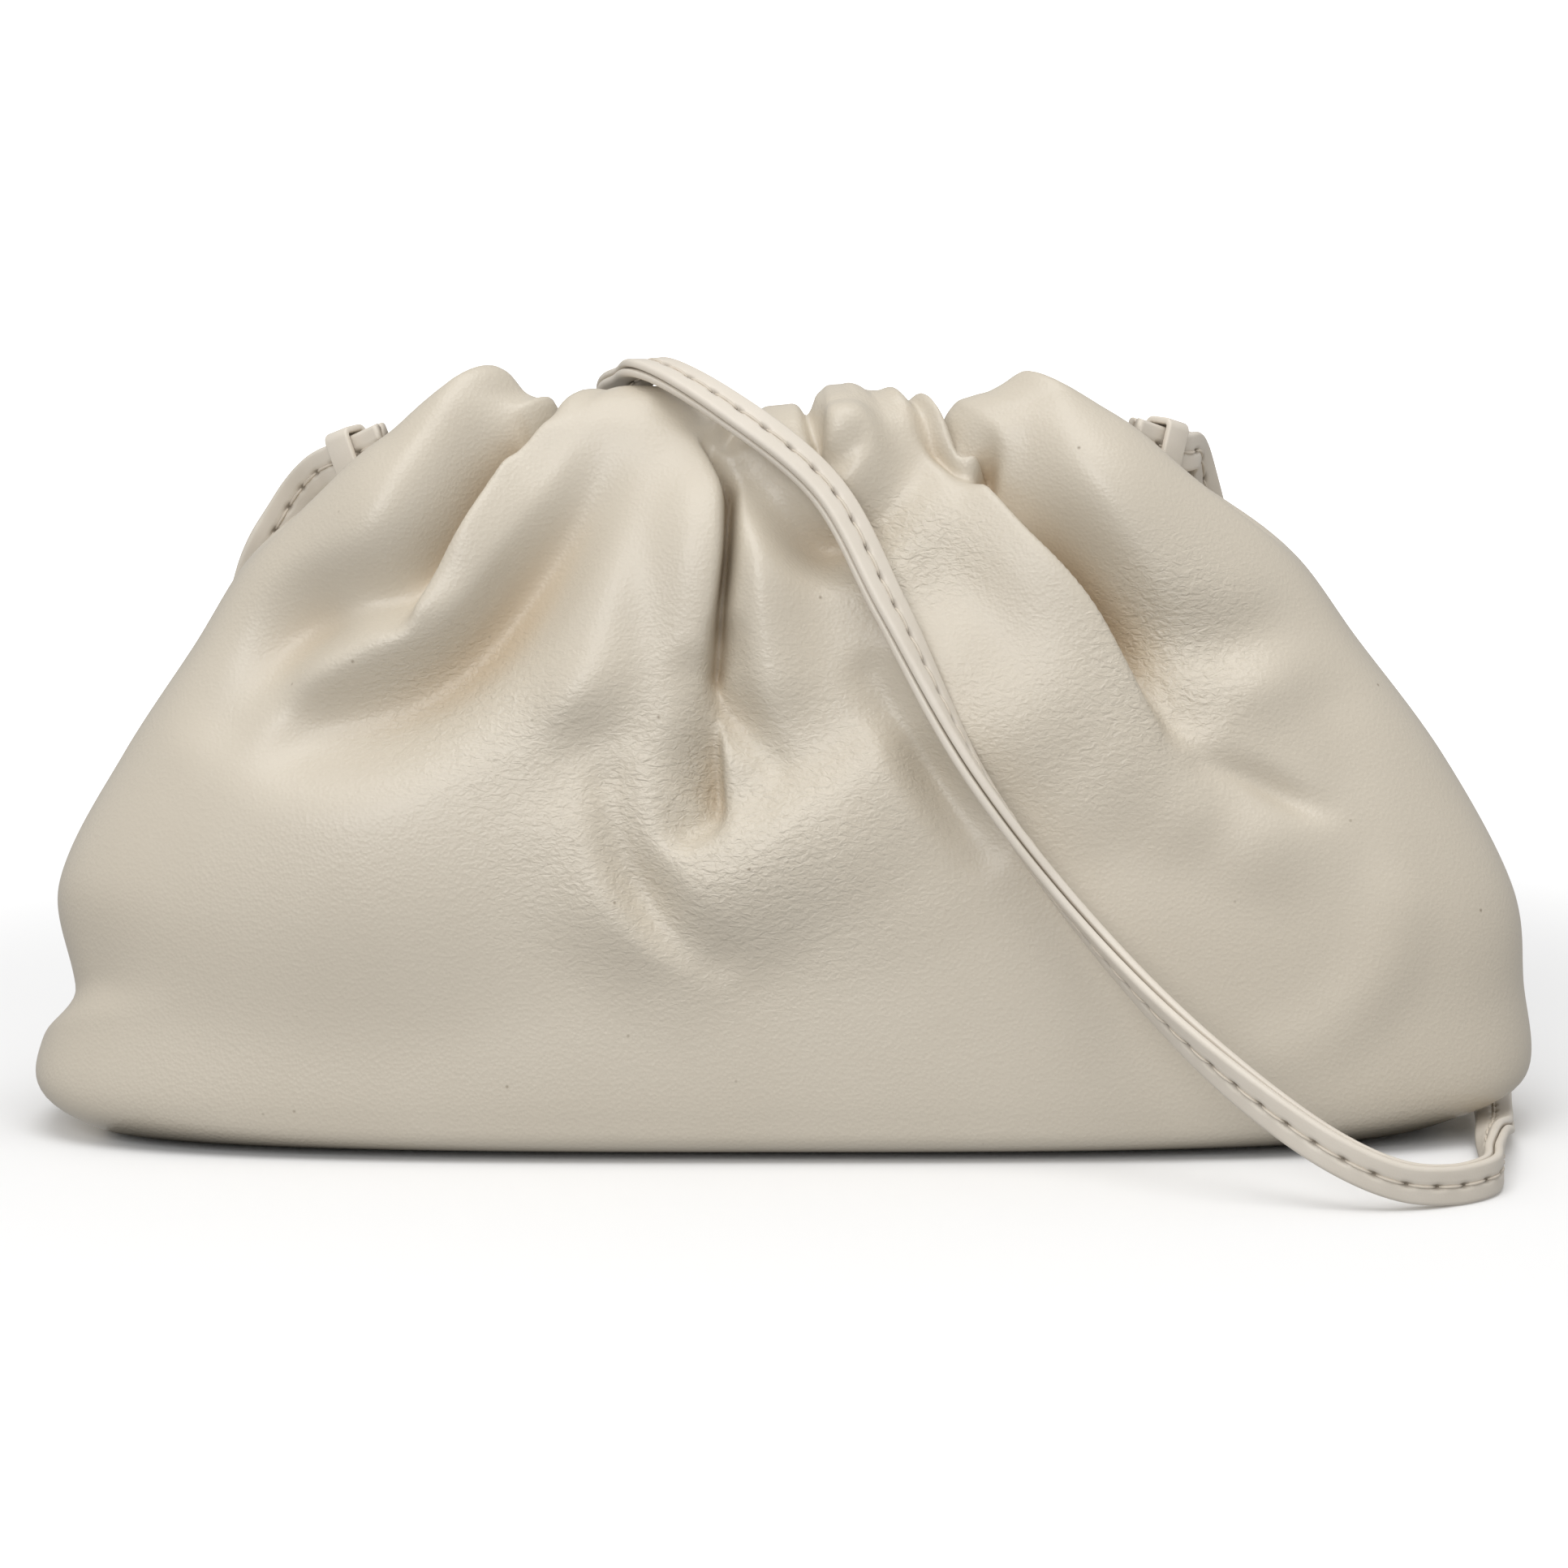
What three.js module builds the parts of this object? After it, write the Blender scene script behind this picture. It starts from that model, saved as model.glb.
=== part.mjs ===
// Pouch bag: a soft leather bag gathered into a closed mouth, with a narrow shoulder strap.
// Millimetres. X runs along the bag, the front faces -Y, Z is up and the bag stands on z = 0.

import * as THREE from 'three';

// Leather walls
const WALL = 2.4;
const LIP = 5.6;
const LIP_ROLL_RINGS = 3;
const LIP_THICKENS_FROM = 0.7;
const FLOOR_BLENDS_BY = 30;

// How finely the shell is divided
const FRONT_COLUMNS = 72;
const BACK_COLUMNS = 44;
const RINGS_PER_SECTION = 2;
const WIDEST_SECTION = 4;
const ARC_SAMPLES = 600;

// Steps to a neighbouring point, from which the surface's direction is worked out
const NEXT_ANGLE = 0.001;
const NEXT_SECTION = 0.01;

// The mouth drops at its two ends only, so the drop follows a high power of the distance out
const END_DROP_POWER = 9;

// The back lip is lower than the front one
const BACK_LIP_DROP = 5;
const BACK_LIP_DROPS_FROM = 80;
const BACK_LIP_DROPS_TO = 108;

// The rim's rise and fall fades out below the lip, and is weaker at the back
const RIM_FROM = 0.75;
const RIM_AT_BACK = 0.75;

// Folds fade out towards the floor and round the bag's ends
const FOLD_STARTS_AT = 3;
const FOLD_FULL_AT = 16;
const FACE_EDGE = 0.3;
const FACE_FULL = 0.75;
const FOLD_SAMPLES = 24;
const MIDDLE = 0.5;
const NARROWEST_FOLD = 4.5;
const LIP_LIFT = 0.7;

// Level sections of the shell from the floor to the lip: heights at the middle and the two ends,
// reach to each side of the centre, and how square the plan is (2 is an ellipse)
const SECTION_COLUMNS = ['zMiddle', 'zLeft', 'zRight', 'left', 'right', 'front', 'back', 'square'];
const SECTIONS = [
  [0, 0, 0, 97, 90, 21, 21.5, 3.0],
  [2.2, 2.2, 2.6, 104.5, 98.5, 29.4, 29.5, 3.0],
  [7, 8, 8.6, 110.4, 109.2, 31, 31, 3.0],
  [20, 20, 22, 107.5, 108.6, 30.8, 31.1, 2.9],
  [37, 37.5, 36, 106.4, 106.8, 29.5, 30, 2.8],
  [57, 55, 55, 97.3, 96.6, 26.3, 27, 2.6],
  [77, 71, 72, 86.8, 84, 22, 22.5, 2.5],
  [94, 84.5, 85.5, 78, 73.5, 17.2, 17.2, 2.5],
  [104.5, 88.8, 88.6, 69, 62.3, 12.8, 12.5, 2.6],
  [108.5, 89.6, 89.2, 61, 54, 9.8, 9.4, 2.8],
].map((row) => nameColumns(SECTION_COLUMNS, row));

// How far the rim of the mouth rises above its plain line, at places along the bag
const RIM_COLUMNS = ['x', 'rise'];
const RIM = [
  [-57, 0],
  [-53.4, 2],
  [-48.6, 4],
  [-46, 3.4],
  [-43.8, 1.6],
  [-41.4, 0.9],
  [-38.4, 1.6],
  [-36.9, -4.4],
  [-35.3, -3],
  [-32, 0.2],
  [-29, -0.1],
  [-20, -0.5],
  [-15, -1.6],
  [-11.5, -4],
  [-8.7, -7],
  [-6, -5],
  [-3.5, -3.6],
  [1.5, -3],
  [3.8, -4],
  [5.2, -2.2],
  [7, -0.6],
  [11, 0.6],
  [14, 0.4],
  [18, 2.4],
  [20.6, 0.6],
  [22.9, -1.6],
  [25, -7],
  [26.6, -6],
  [28, -2.8],
  [30.1, -1.4],
  [34.8, 0],
  [40, 2.3],
  [46, 0.6],
  [51, 0],
].map((row) => nameColumns(RIM_COLUMNS, row));

// Folds of the leather, each along a path of [across, z] points on one face of the bag. Height is
// given at the start, middle and end of the path, and is negative for a valley. Left and right are
// the half-widths on the two sides of the path as it is walked, lip is the share of them at its
// start, and sharp turns a round crest (0) into a crease (1).
const FOLD_COLUMNS = ['face', 'start', 'middle', 'end', 'left', 'right', 'lip', 'sharp', 'path'];
const FOLDS = [
  // Gathers on the front, from left to right
  ['front', 0.5, 5.5, 1.5, 14, 14, 0.7, 0, [[-44, 109], [-51, 97], [-60, 88], [-69, 80]]],
  ['front', -7, -12, -5, 2, 12, 0.7, 0.7,
    [[-35.7, 107], [-38.3, 103], [-42.9, 95], [-49, 86.5], [-53.5, 80]]],
  ['front', -2, -7, -1.5, 7, 9, 1, 0,
    [[-50, 84], [-58, 80.5], [-66, 78], [-72, 75], [-76.5, 69], [-81, 64]]],
  ['front', -1, 4.5, 1, 6, 5, 0.9, 0,
    [[-32.4, 108], [-37, 98], [-42, 90], [-47.6, 81.5], [-54.6, 77], [-61.6, 74], [-68.6, 68.4],
      [-73.3, 62.7]]],
  ['front', 0, -8, -3.5, 8, 7, 0.9, 0,
    [[-22.5, 106], [-26, 100], [-30.7, 91], [-38.3, 80.4], [-45.3, 72.5], [-53.5, 66.8], [-61.6, 64],
      [-69.5, 63]]],
  ['front', -1, 5, 2.5, 4, 10, 0.8, 0,
    [[-13.7, 107], [-11.6, 99], [-11.5, 91], [-12, 83], [-13, 74], [-13.5, 65]]],
  ['front', 0, 3, 3, 10, 9, 1, 0, [[-19.6, 100], [-25, 80], [-29, 67]]],
  ['front', -5, -15, -5, 1.7, 1.7, 1, 0.5,
    [[-11.2, 106], [-9.2, 101], [-8.5, 97], [-8.7, 90], [-9.2, 84.4], [-9.7, 78.7], [-9.9, 74],
      [-10, 70]]],
  ['front', -3, -5, -1.5, 5, 3, 1, 0.2, [[-9.8, 76], [-9.2, 70], [-7.3, 65], [-5, 61.5], [-2, 58]]],
  ['front', 0, 4.5, 2.5, 10, 3, 0.8, 0, [[-5.6, 101], [-5, 91], [-4.6, 80], [-3, 70]]],
  ['front', -3, -7, -2.5, 7, 5, 1, 0,
    [[-5.6, 101], [-2, 94], [3, 89], [8, 88.5], [13, 91.5], [17.8, 98.5]]],
  ['front', -1, 5, 2, 8, 4.5, 0.9, 0, [[9.6, 109], [8.5, 104.6], [10, 99]]],
  ['front', -3, -6, -3.5, 2, 2, 1, 0.6, [[4.4, 108], [5.2, 105.5], [4.8, 102.5]]],
  ['front', -1.5, -2.4, -1.5, 2.2, 2.2, 1, 0.4, [[4.4, 101.7], [7.3, 100], [10.8, 102]]],
  ['front', -4, 5, 2, 4, 13, 0.7, 0, [[20, 108], [25.4, 100], [34, 89.5], [42, 78], [50, 66], [58, 53]]],
  ['front', -6, -14, -3, 11, 2, 1, 0.8,
    [[29, 98], [34, 91], [39, 84.8], [44.7, 77.6], [50.5, 69.5], [54.5, 63.5]]],
  ['front', -5, -10, -6, 2.3, 2.3, 1, 0.5, [[26.2, 107.4], [28.7, 105.8], [29.9, 103.2], [29.6, 99]]],
  ['front', -1.5, -2.5, -1, 1.8, 3, 1, 0.4, [[20.9, 107.6], [21.6, 105.3], [23.6, 103], [25.7, 101.4]]],
  ['front', 0, 4.5, 1.5, 13, 8, 0.8, 0, [[37, 110], [42, 101], [51, 91], [62, 80]]],
  // Wrinkles where the right gather ends
  ['front', -1.5, -2.4, -0.8, 8, 6, 1, 0, [[50, 75.5], [57, 74.5], [67, 74.5], [77, 75.5]]],
  ['front', 0.6, 1.8, 0.6, 5, 8, 1, 0, [[62.8, 66], [68, 69], [75, 72]]],
  ['front', -0.8, -1.4, -0.5, 7, 7, 1, 0, [[78.5, 69.5], [82, 63]]],
  ['front', -0.8, -2.2, -0.6, 4, 2.5, 1, 0.5, [[59.8, 57.6], [66.8, 55.3], [73.9, 51.4], [78, 50]]],
  ['front', 0.8, 2.2, 0.8, 4, 12, 1, 0, [[63.3, 51.2], [69.2, 47.8], [76.2, 47.2]]],
  ['front', 0.5, 1.2, 0.5, 7, 7, 1, 0, [[85.5, 50], [88, 39.7], [86.7, 28], [79.7, 19.6], [71.5, 16]]],
  ['front', -0.3, -0.8, -0.3, 4, 4, 1, 0, [[79.7, 55.8], [85.5, 44.4], [91.4, 39.7]]],
  // The swag under the middle gathers
  ['front', 1.5, 5.2, 3, 6, 18, 1, 0,
    [[-23.1, 56.4], [-21.3, 51.2], [-17.8, 46], [-14.3, 43.2], [-11.4, 42.6], [-7.9, 44.3], [-2.1, 48.3],
      [3.8, 52], [9.6, 55.8], [15.5, 60.4]]],
  ['front', -2, -4.4, -1.2, 7, 4.5, 1, 0.2,
    [[-25.2, 54], [-23.5, 45.5], [-20.8, 39.7], [-16.7, 34.4], [-10.8, 30.3]]],
  ['front', 0.6, 2.2, 0.8, 8, 11, 1, 0, [[-32.4, 46.6], [-27.8, 39.7], [-20.8, 32.6], [-15, 27.9]]],
  ['front', -1, -3.5, -0.6, 8, 8, 1, 0, [[-31, 55.5], [-27, 61], [-21, 64.5]]],
  ['front', -3, -7, -3, 2, 9, 1, 0.5,
    [[-10.3, 69.5], [-9.7, 62.7], [-9.1, 55.8], [-8.8, 51.2], [-10.2, 48.9], [-12.6, 47.8]]],
  ['front', -1.5, -5, -1, 5, 6, 1, 0.3, [[13, 70], [18, 62], [23, 54], [28, 46]]],
  ['front', 1, 1.5, 1, 16, 16, 1, 0, [[4, 40], [16, 43]]],
  ['front', 3, 4.5, 2.5, 15, 15, 1, 0, [[26, 70], [34, 64], [42, 57]]],
  // The swag under the left gathers
  ['front', 1.5, 4.5, 2, 9, 36, 1, 0,
    [[-89, 58], [-81.5, 53.5], [-72, 50], [-61.6, 50], [-51, 53], [-41.8, 57.6], [-33.6, 63.8]]],
  // Gathers and one long swag on the back
  ['back', 3, 2, 0, 9, 9, 0.7, 0, [[-44, 111], [-54, 92], [-66, 74]]],
  ['back', -3, -5, -1, 6, 6, 0.6, 0.4, [[-37, 107], [-47, 86], [-62, 70]]],
  ['back', -3, -2, -1, 7, 7, 0.8, 0.2, [[-27, 107], [-28, 88], [-28, 68]]],
  ['back', 2, 3, 1.5, 8, 8, 0.7, 0, [[-15, 108], [-16, 88], [-18, 66]]],
  ['back', 2, 2, 1.5, 8, 8, 0.7, 0, [[-6, 108], [-7, 90], [-9, 66]]],
  ['back', -3, -6, -2, 5, 5, 0.6, 0.6, [[2, 108], [3, 88], [6, 70], [4, 55]]],
  ['back', 3, 3, 1.5, 8, 8, 0.7, 0, [[11, 111], [16, 90], [22, 66]]],
  ['back', -3, -5, -1, 6, 6, 0.6, 0.4, [[21, 108], [28, 88], [40, 70]]],
  ['back', 3, 3, 1, 8, 8, 0.7, 0, [[30, 111], [39, 92], [52, 70]]],
  ['back', -3, -4.5, -1, 6, 6, 0.6, 0.4, [[38, 107], [49, 88], [64, 72]]],
  ['back', 3, 2, 0, 9, 9, 0.7, 0, [[44, 111], [54, 92], [66, 74]]],
  ['back', 1, 2.5, 1, 10, 10, 1, 0, [[-60, 60], [-25, 50], [20, 48], [62, 60]]],
  // The crease over the bulge at the foot of the left end
  ['left', -2, -3.5, -2, 16, 5, 1, 0.4, [[-16, 24], [0, 18.5], [16, 14]]],
].map((row) => nameColumns(FOLD_COLUMNS, row));

// Strap: two layers of leather, flat, with rounded edges
const STRAP_WIDTH = 5.6;
const STRAP_THICKNESS = 2.7;
const STRAP_EDGE_FLAT = 1.1;
const STRAP_FACE_FLAT = 4.2;
const STRAP_STEPS_PER_POINT = 2;
const STRAP_LENGTH_SAMPLES = 1000;

// Strap keepers: short leather sleeves round the strap
const KEEPER_LENGTH = 4.2;
const KEEPER_WALL = 1;
const KEEPER_PLAY = 0.4;
const KEEPER_CORNER = 1.2;
const KEEPER_CORNER_STEPS = 3;
const KEEPER_FROM_END = 6.6;

const UP = [0, 0, 1];
const BACK = [0, 1, 0];
const LEFT = [-1, 0, 0];

// The strap's centre line from the left end of the mouth to the right end, and which way its broad
// face looks: down behind the left shoulder, along the floor behind the bag, up the back, over the
// lip, down across the front, round on the floor and up the back to the right end of the mouth
const ROUTE_COLUMNS = ['x', 'y', 'z', 'face'];
const STRAP_ROUTE = [
  [-58.2, -1.2, 101.6, [0.55, 1, 0]],
  [-61.7, 1.1, 99.7, [0.55, 1, 0]],
  [-65.2, 3.5, 98, [0.52, 1, 0.05]],
  [-68.2, 6.8, 96.3, [0.45, 1, 0.2]],
  [-71.5, 10.7, 92.7, [0.3, 1, 0.3]],
  [-74.4, 12.8, 88.2, [0.2, 1, 0.35]],
  [-77, 14.2, 83.8, [0.1, 1, 0.4]],
  [-79, 16.2, 78.6, [0.1, 1, 0.4]],
  [-80.6, 19.6, 69, BACK],
  [-86, 28.6, 22, BACK],
  [-84.8, 31.5, 6.6, [0, 1, 1]],
  [-83, 41, 2.2, UP],
  [-75, 72, 1.7, UP],
  [-46, 92, 1.6, UP],
  [-4, 85, 1.9, UP],
  [23, 48, 2.6, UP],
  [25.5, 36.5, 6.6, [0, 1, 1]],
  [12, 34.4, 42, BACK],
  [-17, 25.2, 88, BACK],
  [-25, 10, 107.2, [0, 1, 1]],
  [-22.6, 2, 110, [0.4, 0.4, 1]],
  [-19.5, -5.4, 112.8, [0.1, -0.2, 1]],
  [-9, -14, 108.4, [0.6, -1, 1]],
  [5.7, -19.3, 97, [0.7, -1, 0.8]],
  [15, -26, 80.5, [0.8, -0.8, 0.6]],
  [27, -32.2, 57.5, [1, -0.1, 0.7]],
  [44.5, -36.5, 34.4, [0.95, 0.45, 0.75]],
  [62.2, -53, 18.4, [0.4, 1, 0.45]],
  [77, -60, 8.4, [0.25, 1, 0.1]],
  [86.5, -60.5, 4.3, [0.4, 1, 0]],
  [94, -57, 3, BACK],
  [99.6, -51, 3, [-1, 0.6, 0]],
  [101.4, -40, 3, LEFT],
  [102.4, -27, 2.9, [-1, 0, 0.6]],
  [103.8, -13, 2.1, [-0.2, 0, 1]],
  [104.8, 2, 1.8, UP],
  [105.8, 18, 1.8, UP],
  [104.5, 48, 1.6, UP],
  [91, 64, 1.6, UP],
  [77.5, 51, 2.1, UP],
  [75, 33.5, 6.6, [0, 1, 1]],
  [72.2, 28.4, 44, BACK],
  [68, 23.2, 72, BACK],
  [65.4, 21, 80, BACK],
  [62.8, 18.8, 87.6, [-0.4, 1, 0.3]],
  [61.4, 15.8, 93, [-0.8, 0.8, 0.4]],
  [60.4, 12.4, 97.2, [-1, 0.5, 0.3]],
  [59.8, 9, 98.9, [-1, 0.4, 0]],
  [58.2, 5.4, 99.1, [-0.8, 0.7, 0]],
  [56, 2.8, 99.9, [-0.66, 0.75, 0]],
  [53.2, 0.3, 101.1, [-0.66, 0.75, 0]],
  [50.4, -2.2, 102.4, [-0.66, 0.75, 0]],
].map((row) => nameColumns(ROUTE_COLUMNS, row));

const LEATHER = new THREE.MeshStandardMaterial({ color: 0xcbc1b0, roughness: 0.5, metalness: 0 });
const STRAP_LEATHER = new THREE.MeshStandardMaterial({ color: 0xcfc4b3, roughness: 0.48, metalness: 0 });

function nameColumns(columns, row) {
  return Object.fromEntries(columns.map((column, index) => [column, row[index]]));
}

function smooth(from, to, value) {
  const share = Math.min(1, Math.max(0, (value - from) / (to - from)));
  return share * share * (3 - 2 * share);
}

function mix(a, b, share) {
  return a + (b - a) * share;
}

// A Catmull-Rom curve through a list of numbers, at a place counted in list steps
function through(values, place) {
  const last = values.length - 1;
  const index = Math.min(last - 1, Math.floor(place));
  const t = place - index;
  const at = (k) => values[Math.min(last, Math.max(0, k))];
  const [p, q, r, s] = [at(index - 1), at(index), at(index + 1), at(index + 2)];
  const slopeIn = (r - p) / 2;
  const slopeOut = (s - q) / 2;
  return q + slopeIn * t + (3 * (r - q) - 2 * slopeIn - slopeOut) * t * t
    + (2 * (q - r) + slopeIn + slopeOut) * t * t * t;
}

function sectionAt(place) {
  return Object.fromEntries(SECTION_COLUMNS.map(
    (column) => [column, through(SECTIONS.map((section) => section[column]), place)]));
}

// The unit superellipse in one direction of the plan
function planPoint(angle, square) {
  const c = Math.cos(angle);
  const s = Math.sin(angle);
  const reach = (Math.abs(c) ** square + Math.abs(s) ** square) ** (-1 / square);
  return [c * reach, s * reach];
}

// A point of a section, drawn in by a wall and raised off the floor for the inside
function sectionPoint(section, angle, wall) {
  const [across, deep] = planPoint(angle, section.square);
  const x = across * ((across < 0 ? section.left : section.right) - wall);
  const y = deep * ((deep < 0 ? section.front : section.back) - wall);
  const zEnd = across < 0 ? section.zLeft : section.zRight;
  const level = mix(section.zMiddle, zEnd, Math.abs(across) ** END_DROP_POWER);
  const backDrop = smooth(BACK_LIP_DROPS_FROM, BACK_LIP_DROPS_TO, level) * Math.max(0, deep);
  const z = level - BACK_LIP_DROP * backDrop;
  const floor = wall > 0 ? WALL * Math.max(0, 1 - z / FLOOR_BLENDS_BY) : 0;
  return new THREE.Vector3(x, y, z + floor);
}

// Directions that divide the front and the back of the widest section into equal steps
function columnAngles() {
  const section = sectionAt(WIDEST_SECTION);
  const angles = [];
  for (const [start, count] of [[Math.PI, FRONT_COLUMNS], [0, BACK_COLUMNS]]) {
    const lengths = [0];
    let before = sectionPoint(section, start, 0);
    for (let k = 1; k <= ARC_SAMPLES; k += 1) {
      const next = sectionPoint(section, start + Math.PI * k / ARC_SAMPLES, 0);
      lengths.push(lengths[k - 1] + next.distanceTo(before));
      before = next;
    }
    let k = 0;
    for (let column = 0; column < count; column += 1) {
      const wanted = lengths[ARC_SAMPLES] * column / count;
      while (lengths[k + 1] < wanted) k += 1;
      const share = (wanted - lengths[k]) / (lengths[k + 1] - lengths[k]);
      angles.push(start + Math.PI * (k + share) / ARC_SAMPLES);
    }
  }
  return angles;
}

// Points along each fold's path, worked out once
for (const fold of FOLDS) {
  fold.points = [];
  for (let k = 0; k <= FOLD_SAMPLES; k += 1) {
    const place = (fold.path.length - 1) * k / FOLD_SAMPLES;
    fold.points.push([0, 1].map((axis) => through(fold.path.map((point) => point[axis]), place)));
  }
}

// Height of one fold at a place on its face, from the nearest point of its path
function foldHeight(fold, across, z) {
  let best = { distance: Infinity };
  for (let k = 0; k < FOLD_SAMPLES; k += 1) {
    const [ax, az] = fold.points[k];
    const [bx, bz] = fold.points[k + 1];
    const [dx, dz] = [bx - ax, bz - az];
    const share = ((across - ax) * dx + (z - az) * dz) / (dx * dx + dz * dz);
    const t = Math.min(1, Math.max(0, share));
    const [ex, ez] = [across - ax - t * dx, z - az - t * dz];
    const distance = Math.hypot(ex, ez);
    if (distance < best.distance) {
      const side = distance > 0 ? (dx * ez - dz * ex) / (Math.hypot(dx, dz) * distance) : 0;
      best = { distance, side, along: (k + t) / FOLD_SAMPLES };
    }
  }
  const { distance, side, along } = best;
  const share = mix(fold.lip, 1, smooth(0, MIDDLE, along));
  const width = share * mix(fold.right, fold.left, (1 + side) / 2);
  const q = distance / Math.max(NARROWEST_FOLD, width);
  if (q >= 1) return 0;
  const height = along < MIDDLE
    ? mix(fold.start, fold.middle, smooth(0, MIDDLE, along))
    : mix(fold.middle, fold.end, smooth(MIDDLE, 1, along));
  const round = (1 - q * q) ** 2;
  const crease = (1 - q) ** 2;
  return height * mix(round, crease, fold.sharp);
}

// All folds together at a point of the plain shell
function foldsAt(point, across, deep) {
  const faces = {
    front: [smooth(FACE_EDGE, FACE_FULL, -deep), point.x],
    back: [smooth(FACE_EDGE, FACE_FULL, deep), point.x],
    left: [smooth(FACE_FULL, 1, -across), point.y],
  };
  let height = 0;
  for (const fold of FOLDS) {
    const [weight, place] = faces[fold.face];
    if (weight > 0) height += weight * foldHeight(fold, place, point.z);
  }
  return height * smooth(FOLD_STARTS_AT, FOLD_FULL_AT, point.z);
}

// The rim's rise at a place along the bag, straight between the places of its table
function rimRise(x) {
  const next = RIM.findIndex((place) => place.x > x);
  if (next === 0) return RIM[0].rise;
  if (next < 0) return RIM[RIM.length - 1].rise;
  const [before, after] = [RIM[next - 1], RIM[next]];
  return mix(before.rise, after.rise, (x - before.x) / (after.x - before.x));
}

// Rings of the shell: up the outside, over the rolled lip and down the inside
function shellRings() {
  const angles = columnAngles();
  const steps = (SECTIONS.length - 1) * RINGS_PER_SECTION;
  const outside = [];
  const inside = [];
  for (let step = 0; step <= steps; step += 1) {
    const place = step / RINGS_PER_SECTION;
    const section = sectionAt(place);
    const rise = step < steps ? 1 : -1;
    const nearby = sectionAt(place + rise * NEXT_SECTION);
    const wall = mix(WALL, LIP, smooth(LIP_THICKENS_FROM, 1, step / steps));
    const lift = LIP_LIFT * smooth(LIP_THICKENS_FROM, 1, step / steps);
    const rim = smooth(RIM_FROM, 1, step / steps);
    const outer = [];
    const inner = [];
    for (const angle of angles) {
      const point = sectionPoint(section, angle, 0);
      const aside = sectionPoint(section, angle + NEXT_ANGLE, 0).sub(point);
      const above = sectionPoint(nearby, angle, 0).sub(point).multiplyScalar(rise);
      const outward = aside.cross(above).normalize();
      outward.lerp(new THREE.Vector3(...UP), lift).normalize();
      const [across, deep] = planPoint(angle, section.square);
      const moved = outward.multiplyScalar(foldsAt(point, across, deep));
      moved.z += rim * rimRise(point.x) * mix(1, RIM_AT_BACK, (1 + deep) / 2);
      outer.push(point.add(moved));
      inner.push(sectionPoint(section, angle, wall).add(moved));
    }
    outside.push(outer);
    inside.push(inner);
  }
  const roll = [];
  for (let ring = 1; ring <= LIP_ROLL_RINGS; ring += 1) {
    const turn = Math.PI * ring / (LIP_ROLL_RINGS + 1);
    roll.push(angles.map((_, column) => {
      const outer = outside[steps][column];
      const inner = inside[steps][column];
      const middle = outer.clone().lerp(inner, (1 - Math.cos(turn)) / 2);
      return middle.add(new THREE.Vector3(0, 0, LIP / 2 * Math.sin(turn)));
    }));
  }
  return [...outside, ...roll, ...inside.reverse()];
}

// A closed skin over rings of points, with a flat cap on the first and the last ring
function skinRings(rings, capIndices) {
  const columns = rings[0].length;
  const indices = [];
  for (let ring = 0; ring + 1 < rings.length; ring += 1) {
    for (let column = 0; column < columns; column += 1) {
      const next = (column + 1) % columns;
      const [a, b] = [ring * columns + column, ring * columns + next];
      const [c, d] = [a + columns, b + columns];
      indices.push(a, b, d, a, d, c);
    }
  }
  const top = (rings.length - 1) * columns;
  for (const [a, b, c] of capIndices(rings[0])) indices.push(c, b, a);
  for (const [a, b, c] of capIndices(rings[rings.length - 1])) indices.push(top + a, top + b, top + c);
  const geometry = new THREE.BufferGeometry();
  geometry.setFromPoints(rings.flat());
  geometry.setIndex(indices);
  geometry.computeVertexNormals();
  return geometry;
}

function flatCap(ring) {
  return THREE.ShapeUtils.triangulateShape(ring.map((point) => new THREE.Vector2(point.x, point.y)), []);
}

function pouchBody() {
  const mesh = new THREE.Mesh(skinRings(shellRings(), flatCap), LEATHER);
  mesh.name = 'pouch_body';
  return mesh;
}

const strapCurve = new THREE.CatmullRomCurve3(
  STRAP_ROUTE.map(({ x, y, z }) => new THREE.Vector3(x, y, z)), false, 'centripetal');
strapCurve.arcLengthDivisions = STRAP_LENGTH_SAMPLES;

// Point, run, face and edge direction of the strap at a place counted in steps of its route
function strapFrame(place) {
  const t = place / (STRAP_ROUTE.length - 1);
  const run = strapCurve.getTangent(t);
  const face = new THREE.Vector3(...[0, 1, 2].map(
    (axis) => through(STRAP_ROUTE.map((point) => new THREE.Vector3(...point.face).normalize()
      .getComponent(axis)), place)));
  face.addScaledVector(run, -face.dot(run)).normalize();
  const edge = face.clone().cross(run);
  return { point: strapCurve.getPoint(t), run, face, edge };
}

// Half of a strap's flat oval section, turned over for the other half
function strapSection() {
  const half = [
    [STRAP_WIDTH / 2, -STRAP_EDGE_FLAT / 2],
    [STRAP_WIDTH / 2, STRAP_EDGE_FLAT / 2],
    [STRAP_FACE_FLAT / 2, STRAP_THICKNESS / 2],
    [-STRAP_FACE_FLAT / 2, STRAP_THICKNESS / 2],
  ];
  return [...half, ...half.map(([across, up]) => [-across, -up])];
}

function fanCap(ring) {
  return ring.slice(2).map((_, index) => [0, index + 1, index + 2]);
}

function shoulderStrap() {
  const section = strapSection();
  const steps = (STRAP_ROUTE.length - 1) * STRAP_STEPS_PER_POINT;
  const rings = [];
  for (let step = 0; step <= steps; step += 1) {
    const { point, face, edge } = strapFrame(step / STRAP_STEPS_PER_POINT);
    rings.push(section.map(([across, up]) => point.clone()
      .addScaledVector(edge, across).addScaledVector(face, up)));
  }
  const mesh = new THREE.Mesh(skinRings(rings, fanCap), STRAP_LEATHER);
  mesh.name = 'shoulder_strap';
  return mesh;
}

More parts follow.
